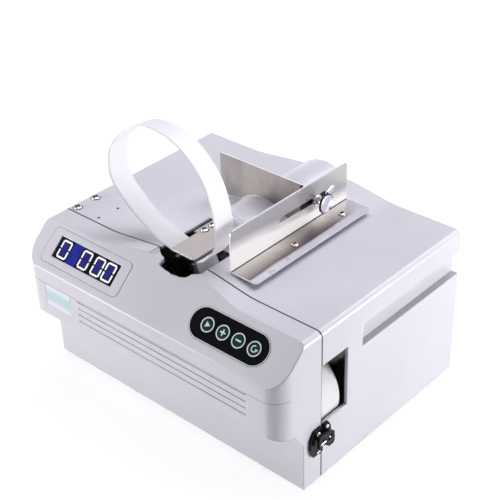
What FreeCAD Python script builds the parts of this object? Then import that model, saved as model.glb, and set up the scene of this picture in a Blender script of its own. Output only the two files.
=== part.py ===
import FreeCAD, Part
import math
import os
import re
import Sketcher

# Banknote strapping machine. Millimetres, +Z up, the operator stands at -Y.
# Row frame: X = 0 is the middle of the case, Z = 0 is the table under the feet.
# "Case frame" below: y is counted back from the seam between the front door and the housing,
# z up from the bottom edge of the housing.

doc = FreeCAD.newDocument("BanknoteStrapper")
sheet = doc.addObject("Spreadsheet::Sheet", "Sizes")

SIZES = dict(
    # housing
    case_width=330, case_depth=211, side_height=164, wall=3, corner_radius=6,
    foot_height=6, foot_radius=9, foot_inset=25, seam_y=-76, seam_gap=0.5,
    hump_rise=8, hump_left=30, hump_right=35, hump_foot_left=90, hump_foot_right=85,
    hump_blend=120, ridge_radius=41, ridge_rise=19, ridge_start=71, ridge_lip=5,
    recess_left=28.5, recess_right=32, recess_back=68,
    window_back=36.5, window_low=62, window_height=65.5,
    grip_start=58, grip_depth=7, grip_drop=48.5, grip_slope=13.5, grip_height=27,
    # front door
    bulge_depth=59, bulge_height=54.5, bulge_radius=20, brow_drop=34, brow_radius=4,
    slope_run=38.2, slope_rise=34.6, plinth_depth=25, chin_depth=37, chin_drop=5.5,
    neck_drop=17, groove_left=77, groove_right=37, groove_rise=14.8, groove_pitch=7.5,
    groove_height=1.6, groove_depth=1, label_inset=29, label_rise=14.5, label_width=36,
    label_height=25, lug_depth=1.1,
    # display and keypad, laid out on the sloped panel: u across, v up the slope
    bezel_inset=17, bezel_low=8.7, bezel_width=109, bezel_height=37.5, bezel_radius=6,
    glass_inset=12.5, glass_rise=7.5, glass_width=84, glass_height=22.5, seat_depth=0.8,
    pad_inset=27, pad_low=11.2, pad_width=91, pad_height=31.5, pad_seat=0.6,
    button_inset=20.5, button_pitch=18.2, button_rise=15.8, button_radius=7.25,
    button_slip=0.2,
    # note table
    tongue_left=19, tongue_right=11, tongue_wide=23, tongue_front=3, tongue_step=41,
    tongue_back=64, tongue_sheet=1.5, guide_face=51, guide_sheet=1.5, guide_front=11,
    guide_length=169, guide_height=43.3, guide_flange=31.5, guide_clear=0.1, guide_screw=15,
    slot_start=67.5,
    slot_length=71.5, slot_rise=19.8, slot_height=6.5, stop_y=113, stop_reach=55,
    stop_rise=3, stop_sheet=1.5, stop_tail=36, stop_stud=2.5, wing_back=18.5,
    knob_radius=10, knob_reach=12,
    # tape
    tape_width=26, tape_front=4.5, tape_thick=0.2, tape_gap=0.6, tape_slip=0.37, roll_gap=1.5,
    roll_z=71,
    roll_radius=45.5, core_radius=22.5, core_bore=20, spindle_radius=6, fit=0.05,
    # mechanism, heights counted down from the top of the hump
    plate_y=72, plate_sheet=3, plate_foot=22, feed_x=42.4, feed_drop=43.9, feed_radius=11,
    pinch_x=24.3, pinch_drop=51.9, pinch_radius=8, pivot_x=31, pivot_drop=88,
    idler_shift=4.65, idler_drop=79.9, idler_radius=8, shaft_radius=4, cam_x=-4, cam_drop=72,
    cam_base=15.4, cam_lift=4, cam_gap=0.6, rod_left=31, rod_right=23, rod_y=54,
    rod_radius=3, rod_length=82, bridge_drop=22, carriage_height=14, press_gap=1.4,
    # electrics
    supply_width=96, supply_height=42, board_width=130, board_depth=86, inlet_inset=50.8,
    inlet_z=44, switch_inset=86.6,
    # latch and hinge
    latch_sheet=3, latch_pivot_y=4.6, latch_pivot_z=48, stud_y=6.5, stud_z=49.5,
    hinge_radius=3, hinge_pin=1.5, hinge_low=20, hinge_drop=9,
)
for row, (alias, number) in enumerate(SIZES.items(), 1):
    sheet.set(f"A{row}", alias)
    sheet.set(f"B{row}", str(number))
    sheet.setAlias(f"B{row}", alias)
doc.recompute()

ALIAS = re.compile(r"\b(" + "|".join(sorted(SIZES, key=len, reverse=True)) + r")\b")
X_AXIS = FreeCAD.Vector(1, 0, 0)
Y_AXIS = FreeCAD.Vector(0, 1, 0)
Z_AXIS = FreeCAD.Vector(0, 0, 1)
AIM = {"X": (Y_AXIS, 90), "Y": (X_AXIS, -90), "Z": (Z_AXIS, 0), "-X": (Y_AXIS, -90),
       "-Y": (X_AXIS, 90), "-Z": (X_AXIS, 180)}
nodes = []

# Places that follow from the sizes.
SLOPE = "slope_rise / slope_run"
SLOPE_LENGTH = "sqrt(slope_run^2 + slope_rise^2)"
SIDE = "(case_width / 2)"
HUMP_TOP = "(side_height + hump_rise)"
RIDGE_AXIS = "(side_height + ridge_rise - ridge_radius)"
GRIP_LEDGE = "(side_height - grip_drop)"
BROW = "(side_height - brow_drop)"
BULGE_LOW = f"({BROW} - bulge_height)"
BEZEL_LEFT = f"(bezel_inset - {SIDE})"
GLASS_LEFT = f"({BEZEL_LEFT} + glass_inset)"
GLASS_LOW = "(bezel_low + glass_rise)"
PAD_LEFT = f"({SIDE} - pad_inset - pad_width)"
BUTTON_FIRST = f"({PAD_LEFT} + button_inset)"
BUTTON_ROW = "(pad_low + button_rise)"
GUIDE_LEFT = "(guide_face - guide_sheet)"
GUIDE_LOW = (f"(side_height + hump_rise * (hump_foot_right - {GUIDE_LEFT})"
             " / (hump_foot_right - hump_right) + guide_clear)")
SLOT_LOW = f"({GUIDE_LOW} + slot_rise)"
SLOT_MIDDLE = f"({SLOT_LOW} + slot_height / 2)"
TAPE_LEVEL = f"({HUMP_TOP} - tongue_sheet - tape_gap)"
ROLL_X = f"({SIDE} - wall - roll_gap - roll_radius)"
IDLER_X = f"((pivot_x + {ROLL_X} - roll_radius) / 2 + idler_shift)"
FEED_Z = f"({HUMP_TOP} - feed_drop)"
PINCH_Z = f"({HUMP_TOP} - pinch_drop)"
PIVOT_Z = f"({HUMP_TOP} - pivot_drop)"
IDLER_Z = f"({HUMP_TOP} - idler_drop)"
CAM_Z = f"({HUMP_TOP} - cam_drop)"
ROD_HIGH = f"({HUMP_TOP} - bridge_drop)"
ROD_LOW = f"({ROD_HIGH} - rod_length)"
CARRIAGE_LOW = f"({CAM_Z} + cam_base + cam_gap)"
CARRIAGE_HIGH = f"({CARRIAGE_LOW} + carriage_height)"
CLAMP_TOP = f"({TAPE_LEVEL} - cam_lift - press_gap)"
PLATE_BACK = "(plate_y + plate_sheet)"
BOARD_X = f"({SIDE} - wall - 22 - board_width)"
BOARD_Y = "(case_depth - 15 - board_depth)"
INLET_X = f"(inlet_inset - {SIDE})"
SWITCH_X = f"(switch_inset - {SIDE})"
HINGE_HIGH = "(side_height - hinge_drop)"
GUIDE_SCREWS = ("71.5", "143")


# ---------------------------------------------------------------- helpers

def bind(expression):
    """The expression with every alias pointed at the sheet."""
    return ALIAS.sub(r"Sizes.\1", str(expression))


def size(expression):
    """What the expression is worth now, in plain millimetres."""
    worth = sheet.evalExpression(bind(expression))
    return float(getattr(worth, "Value", worth))


def set_at(obj, x, y, z, aim="Z"):
    """Put an object at a point of the case frame, its own Z along aim."""
    axis, angle = AIM[aim]
    obj.Placement = FreeCAD.Placement(FreeCAD.Vector(0, 0, 0), FreeCAD.Rotation(axis, angle))
    obj.setExpression("Placement.Base.x", bind(x))
    obj.setExpression("Placement.Base.y", bind(f"seam_y + ({y})"))
    obj.setExpression("Placement.Base.z", bind(f"foot_height + ({z})"))
    return obj


def set_on_slope(obj, u, v, w):
    """Put an object on the door's sloped panel: u across, v up the slope, w out of it."""
    up, out = f"({v}) / {SLOPE_LENGTH}", f"({w}) / {SLOPE_LENGTH}"
    obj.Placement = FreeCAD.Placement(FreeCAD.Vector(0, 0, 0), FreeCAD.Rotation(X_AXIS, 10))
    obj.setExpression("Placement.Rotation.Angle", bind(f"atan({SLOPE})"))
    obj.setExpression("Placement.Base.x", bind(u))
    obj.setExpression("Placement.Base.y", bind(
        f"seam_y - bulge_depth + {up} * slope_run - {out} * slope_rise"))
    obj.setExpression("Placement.Base.z", bind(
        f"foot_height + {BROW} + {up} * slope_rise + {out} * slope_run"))
    return obj


def plain_box(dx, dy, dz):
    obj = doc.addObject("Part::Box", "Box")
    for name, expression in (("Length", dx), ("Width", dy), ("Height", dz)):
        obj.setExpression(name, bind(expression))
    return obj


def plain_rod(radius, length):
    obj = doc.addObject("Part::Cylinder", "Rod")
    obj.setExpression("Radius", bind(radius))
    obj.setExpression("Height", bind(length))
    return obj


def box(x, y, z, dx, dy, dz):
    """A box from its low corner in the case frame."""
    return set_at(plain_box(dx, dy, dz), x, y, z)


def rod(aim, x, y, z, radius, length):
    """A cylinder from its first end in the case frame."""
    return set_at(plain_rod(radius, length), x, y, z, aim)


def slope_box(u, v, w, du, dv, dw):
    return set_on_slope(plain_box(du, dv, dw), u, v, w)


def slope_rod(u, v, w, radius, length):
    return set_on_slope(plain_rod(radius, length), u, v, w)


def fuse(*parts):
    obj = doc.addObject("Part::MultiFuse", "Fuse")
    obj.Shapes = list(parts)
    obj.Refine = True
    return obj


def cut(base, *tools):
    obj = doc.addObject("Part::Cut", "Cut")
    obj.Base = base
    obj.Tool = tools[0] if len(tools) == 1 else fuse(*tools)
    obj.Refine = True
    return obj


def common(*parts):
    obj = doc.addObject("Part::MultiCommon", "Common")
    obj.Shapes = list(parts)
    obj.Refine = True
    return obj


def sketch_on(body, role, outline, start):
    """A sketch of one closed outline, each corner tied to the sheet."""
    plane = next(f for f in body.Origin.OriginFeatures if f.Role == role)
    sketch = body.newObject("Sketcher::SketchObject", "Sketch")
    sketch.AttachmentSupport = [(plane, "")]
    sketch.MapMode = "FlatFace"
    sign = "-" if role == "XZ_Plane" else ""
    sketch.setExpression("AttachmentOffset.Base.z", bind(f"{sign}({start})"))
    corners = [FreeCAD.Vector(size(a), size(b), 0) for a, b in outline]
    for index, corner in enumerate(corners):
        following = corners[(index + 1) % len(corners)]
        sketch.addGeometry(Part.LineSegment(corner, following), False)
    for line, (a, b) in enumerate(outline):
        following = (line + 1) % len(outline)
        sketch.addConstraint(Sketcher.Constraint("Coincident", line, 2, following, 1))
        for kind, expression, now in (("DistanceX", a, corners[line].x),
                                      ("DistanceY", b, corners[line].y)):
            number = sketch.addConstraint(Sketcher.Constraint(kind, -1, 1, line, 1, now))
            sketch.setExpression(f"Constraints[{number}]", bind(expression))
    return sketch


def round_edges(body, feature, rounds):
    """Fillet the body's edges that pass each test; rounds are (radius, edge test) pairs."""
    for radius, test in rounds:
        doc.recompute()
        edges = [f"Edge{i + 1}" for i, edge in enumerate(feature.Shape.Edges) if test(edge)]
        rounding = body.newObject("PartDesign::Fillet", "Fillet")
        rounding.Base = (feature, edges)
        rounding.setExpression("Radius", bind(radius))
        feature = rounding
    doc.recompute()


def pad(role, outline, start, length, rounds=()):
    """A pad of a closed outline drawn in the case frame."""
    body = doc.addObject("PartDesign::Body", "Body")
    feature = body.newObject("PartDesign::Pad", "Pad")
    feature.Profile = sketch_on(body, role, outline, start)
    feature.Reversed = role == "XZ_Plane"
    feature.setExpression("Length", bind(length))
    set_at(body, "0", "0", "0")
    round_edges(body, feature, rounds)
    return body


def turned(outline, x, y, z, aim, rounds=()):
    """A turned piece: (radius, height) corners spun about the height axis, laid along aim."""
    body = doc.addObject("PartDesign::Body", "Turned")
    feature = body.newObject("PartDesign::Revolution", "Revolution")
    feature.Profile = sketch_on(body, "XZ_Plane", outline, "0")
    feature.ReferenceAxis = (feature.Profile[0], ["V_Axis"])
    feature.Angle = 360
    set_at(body, x, y, z, aim)
    round_edges(body, feature, rounds)
    return body


def along(axis, *tests):
    """An edge test: straight along axis ("X", "Y" or "Z"), its middle passing every test."""
    want = {"X": X_AXIS, "Y": Y_AXIS, "Z": Z_AXIS}[axis]

    def chosen(edge):
        if not isinstance(edge.Curve, Part.Line):
            return False
        first, last = (vertex.Point for vertex in edge.Vertexes)
        run = last.sub(first)
        if abs(run.dot(want)) < 0.999 * run.Length:
            return False
        middle = first.add(last).multiply(0.5)
        return all(test(middle) for test in tests)
    return chosen


def rim_at(height):
    """An edge test: the round edge of a turned piece at that height."""
    def chosen(edge):
        return isinstance(edge.Curve, Part.Circle) and abs(edge.Curve.Center.z - height) < 0.01
    return chosen


def slope_plate(u, v, w, du, dv, dw, radius):
    """A plate with round corners on the door's sloped panel."""
    plate = pad("XY_Plane", [("0", "0"), (du, "0"), (du, dv), ("0", dv)], "0", dw,
                rounds=[(radius, along("Z"))])
    return set_on_slope(plate, u, v, w)


def pan_head(x, y, z, aim, radius):
    """A pan-head screw seen from outside, as a low dome."""
    return turned([("0", "0"), (radius, "0"), (radius, "0.9"), (f"{radius} * 0.6", "1.8"),
                   ("0", "2")], x, y, z, aim)


def node(name, obj):
    obj.Label = name
    nodes.append(obj)
    return obj


# ---------------------------------------------------------------- shell sections

def section(inset, bottom, start, length):
    """The housing's cross-section, run along Y: flat sides and a soft low hump in the middle."""
    half, high = f"({SIDE} - ({inset}))", f"(side_height - ({inset}))"
    top = f"({HUMP_TOP} - ({inset}))"
    outline = [(f"-{half}", bottom), (half, bottom), (half, high), ("hump_foot_right", high),
               ("hump_right", top), ("-hump_left", top), ("-hump_foot_left", high),
               (f"-{half}", high)]
    edge, level = size(half), size(high)
    corner = along("Y", lambda p: abs(abs(p.x) - edge) < 0.1 and abs(p.z - level) < 0.1)
    swell = along("Y", lambda p: abs(p.x) < edge - 1 and p.z > level - 1)
    return pad("XZ_Plane", outline, start, length,
               rounds=[(f"corner_radius - ({inset}) * 0.6", corner), ("hump_blend", swell)])


def ridge(inset, start, length):
    """The round ridge that runs back from behind the note table."""
    radius = f"(ridge_radius - ({inset}))"
    return turned([("0", "0"), (radius, "0"), (radius, length), ("0", length)],
                  "0", start, RIDGE_AXIS, "Y", rounds=[("ridge_lip", rim_at(0))])


# ---------------------------------------------------------------- housing

def make_housing():
    outer = fuse(section("0", "0", "0", "case_depth"),
                 ridge("0", "ridge_start", "case_depth - ridge_start"))
    inner = fuse(section("wall", "-1", "-1", "case_depth - wall + 1"),
                 ridge("wall", "ridge_start + wall", "case_depth - ridge_start - 2 * wall"))
    shell = cut(outer, inner)
    grip_wall = "(grip_depth + wall)"
    grip_back = "(case_depth - grip_start)"
    blocks, grips = [], []
    for sign in ("", "-"):
        low_x = f"-{SIDE}" if sign else f"{SIDE} - {grip_wall}"
        blocks.append(box(low_x, "grip_start - wall", f"{GRIP_LEDGE} - wall", grip_wall,
                          f"{grip_back} + wall", "grip_height + 2 * wall"))
        deep, out = f"{sign}({SIDE} - grip_depth)", f"{sign}({SIDE} + 1)"
        lip = f"{GRIP_LEDGE} + grip_height"
        grips.append(pad("XZ_Plane", [(out, GRIP_LEDGE), (out, lip), (f"{sign}{SIDE}", lip),
                                      (deep, f"{GRIP_LEDGE} + grip_slope"), (deep, GRIP_LEDGE)],
                         "grip_start", f"{grip_back} + 1"))
    bosses = [rod("Z", "guide_face + guide_screw", f"guide_front + {back}",
                  "side_height - wall - 1", "5", f"{GUIDE_LOW} - side_height + wall + 1")
              for back in GUIDE_SCREWS]
    head_recess = box("-recess_left", "-1", "side_height - 10", "recess_left + recess_right",
                      "recess_back + 1", "40")
    window = box(f"{SIDE} - wall - 1", "-1", "window_low", "wall + 2", "window_back + 1",
                 "window_height")
    inlet_hole = box(f"{INLET_X} - 13.8", "case_depth - wall - 1", "inlet_z - 10", "27.6",
                     "wall + 2", "20")
    switch_hole = box(f"{SWITCH_X} - 9.6", "case_depth - wall - 1", "inlet_z - 6.5", "19.2",
                      "wall + 2", "13")
    vents = [box(f"20 + {index} * 9", "case_depth - wall - 1", "40", "4", "wall + 2", "50")
             for index in range(12)]
    return node("housing", cut(fuse(shell, *blocks, *bosses), *grips, head_recess, window,
                               inlet_hole, switch_hole, *vents))


def make_base():
    tray = box(f"wall - {SIDE}", "1", "0", "case_width - 2 * wall", "case_depth - wall - 1",
               "2")
    vents = [box(f"30 + {index} * 12", "case_depth - 91", "-1", "5", "60", "4")
             for index in range(8)]
    node("base_plate", cut(tray, *vents))
    feet = []
    for across in (f"foot_inset - {SIDE}", f"{SIDE} - foot_inset"):
        for back in ("14", "case_depth - 21"):
            feet.append(turned([("0", "0"), ("foot_radius - 1", "0"), ("foot_radius", "1"),
                                ("foot_radius - 1", "foot_height"), ("0", "foot_height")],
                               across, back, "-foot_height", "Z"))
    node("feet", fuse(*feet))


# ---------------------------------------------------------------- front door

def door_block(inset):
    """The door's outer form, or its inner one when inset is the wall."""
    rear = "-seam_gap" if inset == "0" else "1"
    bottom = "0" if inset == "0" else "-1"
    drop = f"({inset}) * {SLOPE_LENGTH} / slope_run"
    front = f"-(bulge_depth - ({inset}))"
    chin = f"({BULGE_LOW} - chin_drop)"
    neck = f"-(plinth_depth - ({inset}))"

    def slope_at(y):
        return f"{BROW} + (bulge_depth + ({y})) * {SLOPE} - {drop}"
    side_view = [(rear, inset), (rear, slope_at(rear)), (front, slope_at(front)),
                 (front, f"{BULGE_LOW} + ({inset})"),
                 (f"-(chin_depth - ({inset}) * 0.8)", f"{chin} + ({inset})"),
                 (neck, f"{chin} - neck_drop + ({inset}) * 0.35"), (neck, inset)]
    reach = size(front) + 1
    profile = pad("YZ_Plane", side_view, f"-{SIDE} - 5", "case_width + 10",
                  rounds=[(f"brow_radius - ({inset}) * 0.5", along("X", lambda p: p.y < reach))])
    across = section(inset, bottom, "-bulge_depth - 5", f"bulge_depth + 5 + ({rear})")
    half = f"({SIDE} - ({inset}))"
    plan = pad("XY_Plane", [(f"-{half}", "2"), (f"-{half}", front), (half, front), (half, "2")],
               "-1", f"{HUMP_TOP} + 30",
               rounds=[(f"bulge_radius - ({inset})", along("Z", lambda p: p.y < reach + 10))])
    return common(profile, across, plan)


def pan_block(inset, low, back):
    """The outer or inner form of the pan under the scoop, stepped clear of the display."""
    left, right = f"-recess_left - 6 + {inset}", f"recess_right + 6 - {inset}"
    step, front = f"-16 + {inset}", f"-33 + {inset}"
    return pad("XY_Plane", [(left, back), (left, step), (step, step), (step, front),
                            (right, front), (right, back)], low, "60")


def make_door():
    cavity = door_block("wall")
    skin = cut(door_block("0"), cavity)
    grooves = [box(f"groove_left - {SIDE}", "-bulge_depth - 1",
                   f"{BULGE_LOW} + groove_rise + {index} * groove_pitch",
                   "case_width - groove_left - groove_right", "1 + groove_depth",
                   "groove_height") for index in range(4)]
    label_seat = box(f"label_inset - {SIDE}", "-bulge_depth - 1", f"{BULGE_LOW} + label_rise",
                     "label_width", "1.6", "label_height")
    bezel_seat = slope_plate(BEZEL_LEFT, "bezel_low", "-seat_depth", "bezel_width",
                             "bezel_height", "3", "bezel_radius")
    glass_hole = slope_box(GLASS_LEFT, GLASS_LOW, "-6", "glass_width", "glass_height", "8")
    pad_seat = slope_plate(PAD_LEFT, "pad_low", "-pad_seat", "pad_width", "pad_height",
                           "3", "pad_height / 2 - 0.01")
    button_holes = [slope_rod(f"{BUTTON_FIRST} + {index} * button_pitch", BUTTON_ROW, "-8",
                              "button_radius + button_slip", "12") for index in range(4)]
    scoop = pad("XY_Plane", [("-recess_left", "2"), ("-recess_left", "-2"), ("-20", "-8"),
                             ("-13", "-11"), ("-11.5", "-13.5"), ("-14.5", "-17.5"),
                             ("-5", "-19"), ("5", "-19.8"), ("15", "-19.2"), ("21", "-17.6"),
                             ("26", "-13.5"), ("recess_right", "-7.5"), ("recess_right", "2")],
                "side_height - 24", "60", rounds=[("1.5", along("Z", lambda p: p.y < 1))])
    lug_steps = [box(x, "-18", f"{HUMP_TOP} - lug_depth", across, deep, "5")
                 for x, across, deep in (("-recess_left - 1.5", "16", "16.5"),
                                         ("recess_right - 6", "7.5", "12"))]
    lug_slit = box("-recess_left + 2", "-11.5", f"{HUMP_TOP} - lug_depth - 1.5", "0.9", "6", "5")
    node("front_cover", cut(skin, *grooves, label_seat, bezel_seat, glass_hole, pad_seat,
                            *button_holes, scoop, *lug_steps, lug_slit))
    pan_inner = pan_block("1.5", "side_height - 24.5", "8.5")
    node("scoop_pan", cut(common(pan_block("0", "side_height - 26", "-1.5"), cavity), pan_inner))


def make_display():
    bezel = slope_plate(f"{BEZEL_LEFT} + 0.2", "bezel_low + 0.2", "-seat_depth",
                        "bezel_width - 0.4", "bezel_height - 0.4", "seat_depth + 0.2",
                        "bezel_radius - 0.2")
    opening = slope_box(GLASS_LEFT, GLASS_LOW, "-2", "glass_width", "glass_height", "4")
    node("display_bezel", cut(bezel, opening))
    node("display_glass", slope_box(GLASS_LEFT, GLASS_LOW, "-1.6", "glass_width",
                                    "glass_height", "1.4"))
    node("display_module", fuse(
        slope_box(GLASS_LEFT, GLASS_LOW, "-3", "glass_width", "glass_height", "1.4"),
        slope_box(f"{GLASS_LEFT} - 5", f"{GLASS_LOW} - 4", "-9", "glass_width + 10",
                  "glass_height + 8", "6"),
        slope_box(f"{GLASS_LEFT} - 9", f"{GLASS_LOW} - 6", "-11", "glass_width + 18",
                  "glass_height + 12", "2")))


def make_keypad():
    panel = slope_plate(f"{PAD_LEFT} + 0.1", "pad_low + 0.1", "-pad_seat", "pad_width - 0.2",
                        "pad_height - 0.2", "pad_seat + 0.3", "pad_height / 2 - 0.2")
    holes = []
    for index in range(4):
        u = f"{BUTTON_FIRST} + {index} * button_pitch"
        holes.append(slope_rod(u, BUTTON_ROW, "-4", "button_radius + button_slip", "8"))
        node(f"button_{index + 1}", fuse(
            slope_rod(u, BUTTON_ROW, "-4.4", "button_radius", "5.2"),
            slope_rod(u, BUTTON_ROW, "-4.4", "button_radius + 1.4", "1.4")))
    node("keypad_panel", cut(panel, *holes))
    board = slope_box(f"{PAD_LEFT} + 2", "pad_low + 2", "-10", "pad_width - 4",
                      "pad_height - 4", "1.6")
    switches = [slope_box(f"{BUTTON_FIRST} + {index} * button_pitch - 3", f"{BUTTON_ROW} - 3",
                          "-8.4", "6", "6", "3.4") for index in range(4)]
    posts = [slope_rod(u, v, "-8.4", "2.2", "5.4")
             for u in (f"{PAD_LEFT} + 6", f"{PAD_LEFT} + pad_width - 6")
             for v in ("pad_low + 6", "pad_low + pad_height - 6.5")]
    node("keypad_board", fuse(board, *switches, *posts))
    node("front_label", box(f"label_inset - {SIDE} + 0.2", "-bulge_depth",
                            f"{BULGE_LOW} + label_rise + 0.2", "label_width - 0.4", "0.6",
                            "label_height - 0.4"))


# ---------------------------------------------------------------- note table

def make_note_table():
    low = f"{HUMP_TOP} - tongue_sheet"
    node("tongue_plate", pad("XY_Plane", [
        ("-tongue_left", "tongue_front"), ("tongue_right", "tongue_front"),
        ("tongue_right", "tongue_back"), ("-tongue_wide", "tongue_back"),
        ("-tongue_wide", "tongue_step"), ("-tongue_left", "tongue_step")],
        low, "tongue_sheet", rounds=[("2", along("Z", lambda p: p.y < 10))]))
    beam_top = "side_height - wall - 1"
    beam = box("-rod_left - 5", "tongue_step + 5", ROD_HIGH, "rod_left + rod_right + 10",
               "plate_y - tongue_step - 5", f"{beam_top} - {ROD_HIGH}")
    riser = pad("YZ_Plane", [
        ("tongue_step + 5", ROD_HIGH), ("recess_back - 1.5", ROD_HIGH),
        ("recess_back - 1.5", low), ("tongue_step", low), ("tongue_step", beam_top)],
        "-tongue_wide - 2", "tongue_wide + tongue_right + 4")
    node("tongue_bridge", fuse(beam, riser))
    node("tongue_screws", fuse(*[pan_head("2 - tongue_left", f"tongue_step + {back}", HUMP_TOP,
                                          "Z", "4") for back in ("6.5", "18")]))


def make_guide():
    flange_end = f"{GUIDE_LEFT} + guide_flange"
    back, top = "guide_front + guide_length", f"{GUIDE_LOW} + guide_height"
    middle_z, middle_x = size(f"{GUIDE_LOW} + guide_height / 2"), size("guide_face + 5")
    upright = pad("YZ_Plane", [("guide_front", GUIDE_LOW), (back, GUIDE_LOW), (back, top),
                               ("guide_front", top)], GUIDE_LEFT, "guide_sheet",
                  rounds=[("5", along("X", lambda p: p.z > middle_z))])
    flange = pad("XY_Plane", [(GUIDE_LEFT, "guide_front"), (flange_end, "guide_front"),
                              (flange_end, back), (GUIDE_LEFT, back)],
                 GUIDE_LOW, "guide_sheet", rounds=[("2.5", along("Z", lambda p: p.x > middle_x))])
    slot = box(f"{GUIDE_LEFT} - 1", "guide_front + slot_start", SLOT_LOW, "guide_sheet + 2",
               "slot_length", "slot_height")
    node("note_guide", cut(fuse(upright, flange), slot))
    node("guide_screws", fuse(*[pan_head("guide_face + guide_screw", f"guide_front + {back}",
                                         f"{GUIDE_LOW} + guide_sheet", "Z", "3.6")
                                for back in GUIDE_SCREWS]))


def make_rear_stop():
    right = f"({GUIDE_LEFT} - 0.1)"
    bottom = "(side_height + 2)"
    top = f"({GUIDE_LOW} + guide_height + stop_rise)"
    wing_y = "(stop_y + wing_back)"
    plate = box("-stop_reach", "stop_y", bottom, f"{right} + stop_reach", "stop_sheet",
                f"{top} - {bottom}")
    tail = box(f"{right} - stop_sheet", "stop_y", f"{SLOT_LOW} - 6", "stop_sheet", "stop_tail",
               f"{GUIDE_LOW} + guide_height - {SLOT_LOW} + 4")
    over_hump = section("-1.2", "0", "stop_y - 5", "10")
    over_ridge = rod("Y", "0", "stop_y - 5", RIDGE_AXIS, "ridge_radius + 1.2", "10")
    stud_head = rod("X", f"{right} - stop_sheet - 1.6", wing_y, SLOT_MIDDLE, "4", "1.6")
    stud = rod("X", f"{right} - 1", wing_y, SLOT_MIDDLE, "stop_stud", "guide_sheet + 10.6")
    node("rear_stop", cut(fuse(plate, tail, stud_head, stud), over_hump, over_ridge))
    hub = turned([("0", "0"), ("5.5", "0"), ("5.5", "2.5"), ("4.5", "3"), ("4.5", "knob_reach"),
                  ("knob_radius", "knob_reach"), ("knob_radius", "knob_reach + 1.3"),
                  ("knob_radius - 0.8", "knob_reach + 1.8"), ("0", "knob_reach + 1.8")],
                 "guide_face + 0.1", wing_y, SLOT_MIDDLE, "X")
    ear = pad("YZ_Plane", [(f"{wing_y} + {across}", f"{SLOT_MIDDLE} + {up}") for across, up in (
        ("knob_radius * 0.15", "knob_radius * 1.23"), ("knob_radius * 0.31", "knob_radius * 0.85"),
        ("10.6", "11.5"), ("9", "15.4"))], "guide_face + knob_reach + 0.1", "1.8")
    ear_tip = rod("X", "guide_face + knob_reach + 0.1", f"{wing_y} + 9.8",
                  f"{SLOT_MIDDLE} + 13.45", "2.1", "1.8")
    bore = rod("X", "guide_face - 1", wing_y, SLOT_MIDDLE, "stop_stud + fit", "knob_reach + 0.6")
    node("wing_nut", cut(fuse(hub, ear, ear_tip), bore))


# ---------------------------------------------------------------- tape

# The standing band's centre line from the tongue's middle round to its right: x, height.
BAND = [(11, 0), (-6, 0.1), (-19, 0.4), (-28.5, 2.6), (-46, 9.3), (-72, 24), (-94, 46),
        (-97.5, 64), (-91, 87), (-65, 113), (-35, 121.3), (-1, 113), (24, 90), (35, 64),
        (38.5, 34), (34, 19), (23, 4.5), (13.1, -0.9)]


def arcs_along(points, fit):
    """The smooth line through points as arcs that meet in line, each within fit of it."""
    curve = Part.BSplineCurve()
    curve.interpolate(points)
    return Part.Wire([arc.toShape() for arc in curve.toBiArcs(fit)])


def make_band():
    """The paper band that stands over the tongue, ready for a bundle."""
    y, level = size("seam_y + tape_front"), size(f"foot_height + {TAPE_LEVEL}")
    middle = arcs_along([FreeCAD.Vector(x, y, level + z) for x, z in BAND], 0.1)
    band = doc.addObject("Part::Feature", "Band")
    band.Shape = middle.makeOffset2D(size("tape_thick"), 0, True, True).extrude(
        Y_AXIS * size("tape_width"))
    node("tape_loop", band)


def make_tape_run():
    """Straight tape from the roll past the idler and through the rollers to the tongue."""
    apart = f"sqrt((feed_x - pinch_x)^2 + ({FEED_Z} - {PINCH_Z})^2)"
    share = f"(0.5 + (pinch_radius - feed_radius) / (2 * {apart}))"
    run, drop = f"({ROLL_X} - {IDLER_X})", f"({IDLER_Z} - roll_z)"
    reach = f"sqrt({run}^2 + {drop}^2)"
    leave = f"(acos((roll_radius - idler_radius) / {reach}) - atan({drop} / {run}))"
    path = [("12.6", f"{TAPE_LEVEL} - 1"),
            (f"pinch_x + (feed_x - pinch_x) * {share} + tape_thick / 2",
             f"{PINCH_Z} + ({FEED_Z} - {PINCH_Z}) * {share}"),
            (f"{IDLER_X} - (idler_radius + tape_slip) * cos({leave})",
             f"{IDLER_Z} - (idler_radius + tape_slip) * sin({leave})"),
            (f"{ROLL_X} - (roll_radius + tape_slip) * cos({leave})",
             f"roll_z - (roll_radius + tape_slip) * sin({leave})")]
    far_side = [(f"{x} - tape_thick", z) for x, z in reversed(path)]
    node("tape_run", pad("XZ_Plane", path + far_side, "tape_front", "tape_width"))


def make_roll():
    roll_y, wide = "tape_front - 0.5", "tape_width + 1"
    node("tape_roll", turned([("core_radius", "0"), ("roll_radius", "0"), ("roll_radius", wide),
                              ("core_radius", wide)], ROLL_X, roll_y, "roll_z", "Y"))
    node("roll_core", turned([("core_bore", "0"), ("core_radius", "0"), ("core_radius", wide),
                              ("core_bore", wide)], ROLL_X, roll_y, "roll_z", "Y"))
    bore, hub_end = "spindle_radius + fit", f"{wide} + 17"
    node("roll_hub", turned([(bore, "0"), ("core_bore - fit", "0"), ("core_bore - fit", wide),
                             ("roll_radius - 6", wide), ("roll_radius - 6", f"{wide} + 2"),
                             ("core_bore - 8", f"{wide} + 2"), ("core_bore - 8", hub_end),
                             (bore, hub_end)], ROLL_X, roll_y, "roll_z", "Y"))
    flange, end = "50", "plate_y - 2.6"
    node("roll_spindle", turned([("0", "0"), ("spindle_radius", "0"),
                                 ("spindle_radius", flange), ("14", flange), ("14", end),
                                 ("0", end)], ROLL_X, "2.6", "roll_z", "Y"))
    node("roll_knob", turned([("0", "0"), ("13", "0"), ("14", "1"), ("14", "2.2"), ("0", "2.2")],
                             ROLL_X, "0.4", "roll_z", "Y"))


# ---------------------------------------------------------------- mechanism

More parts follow.
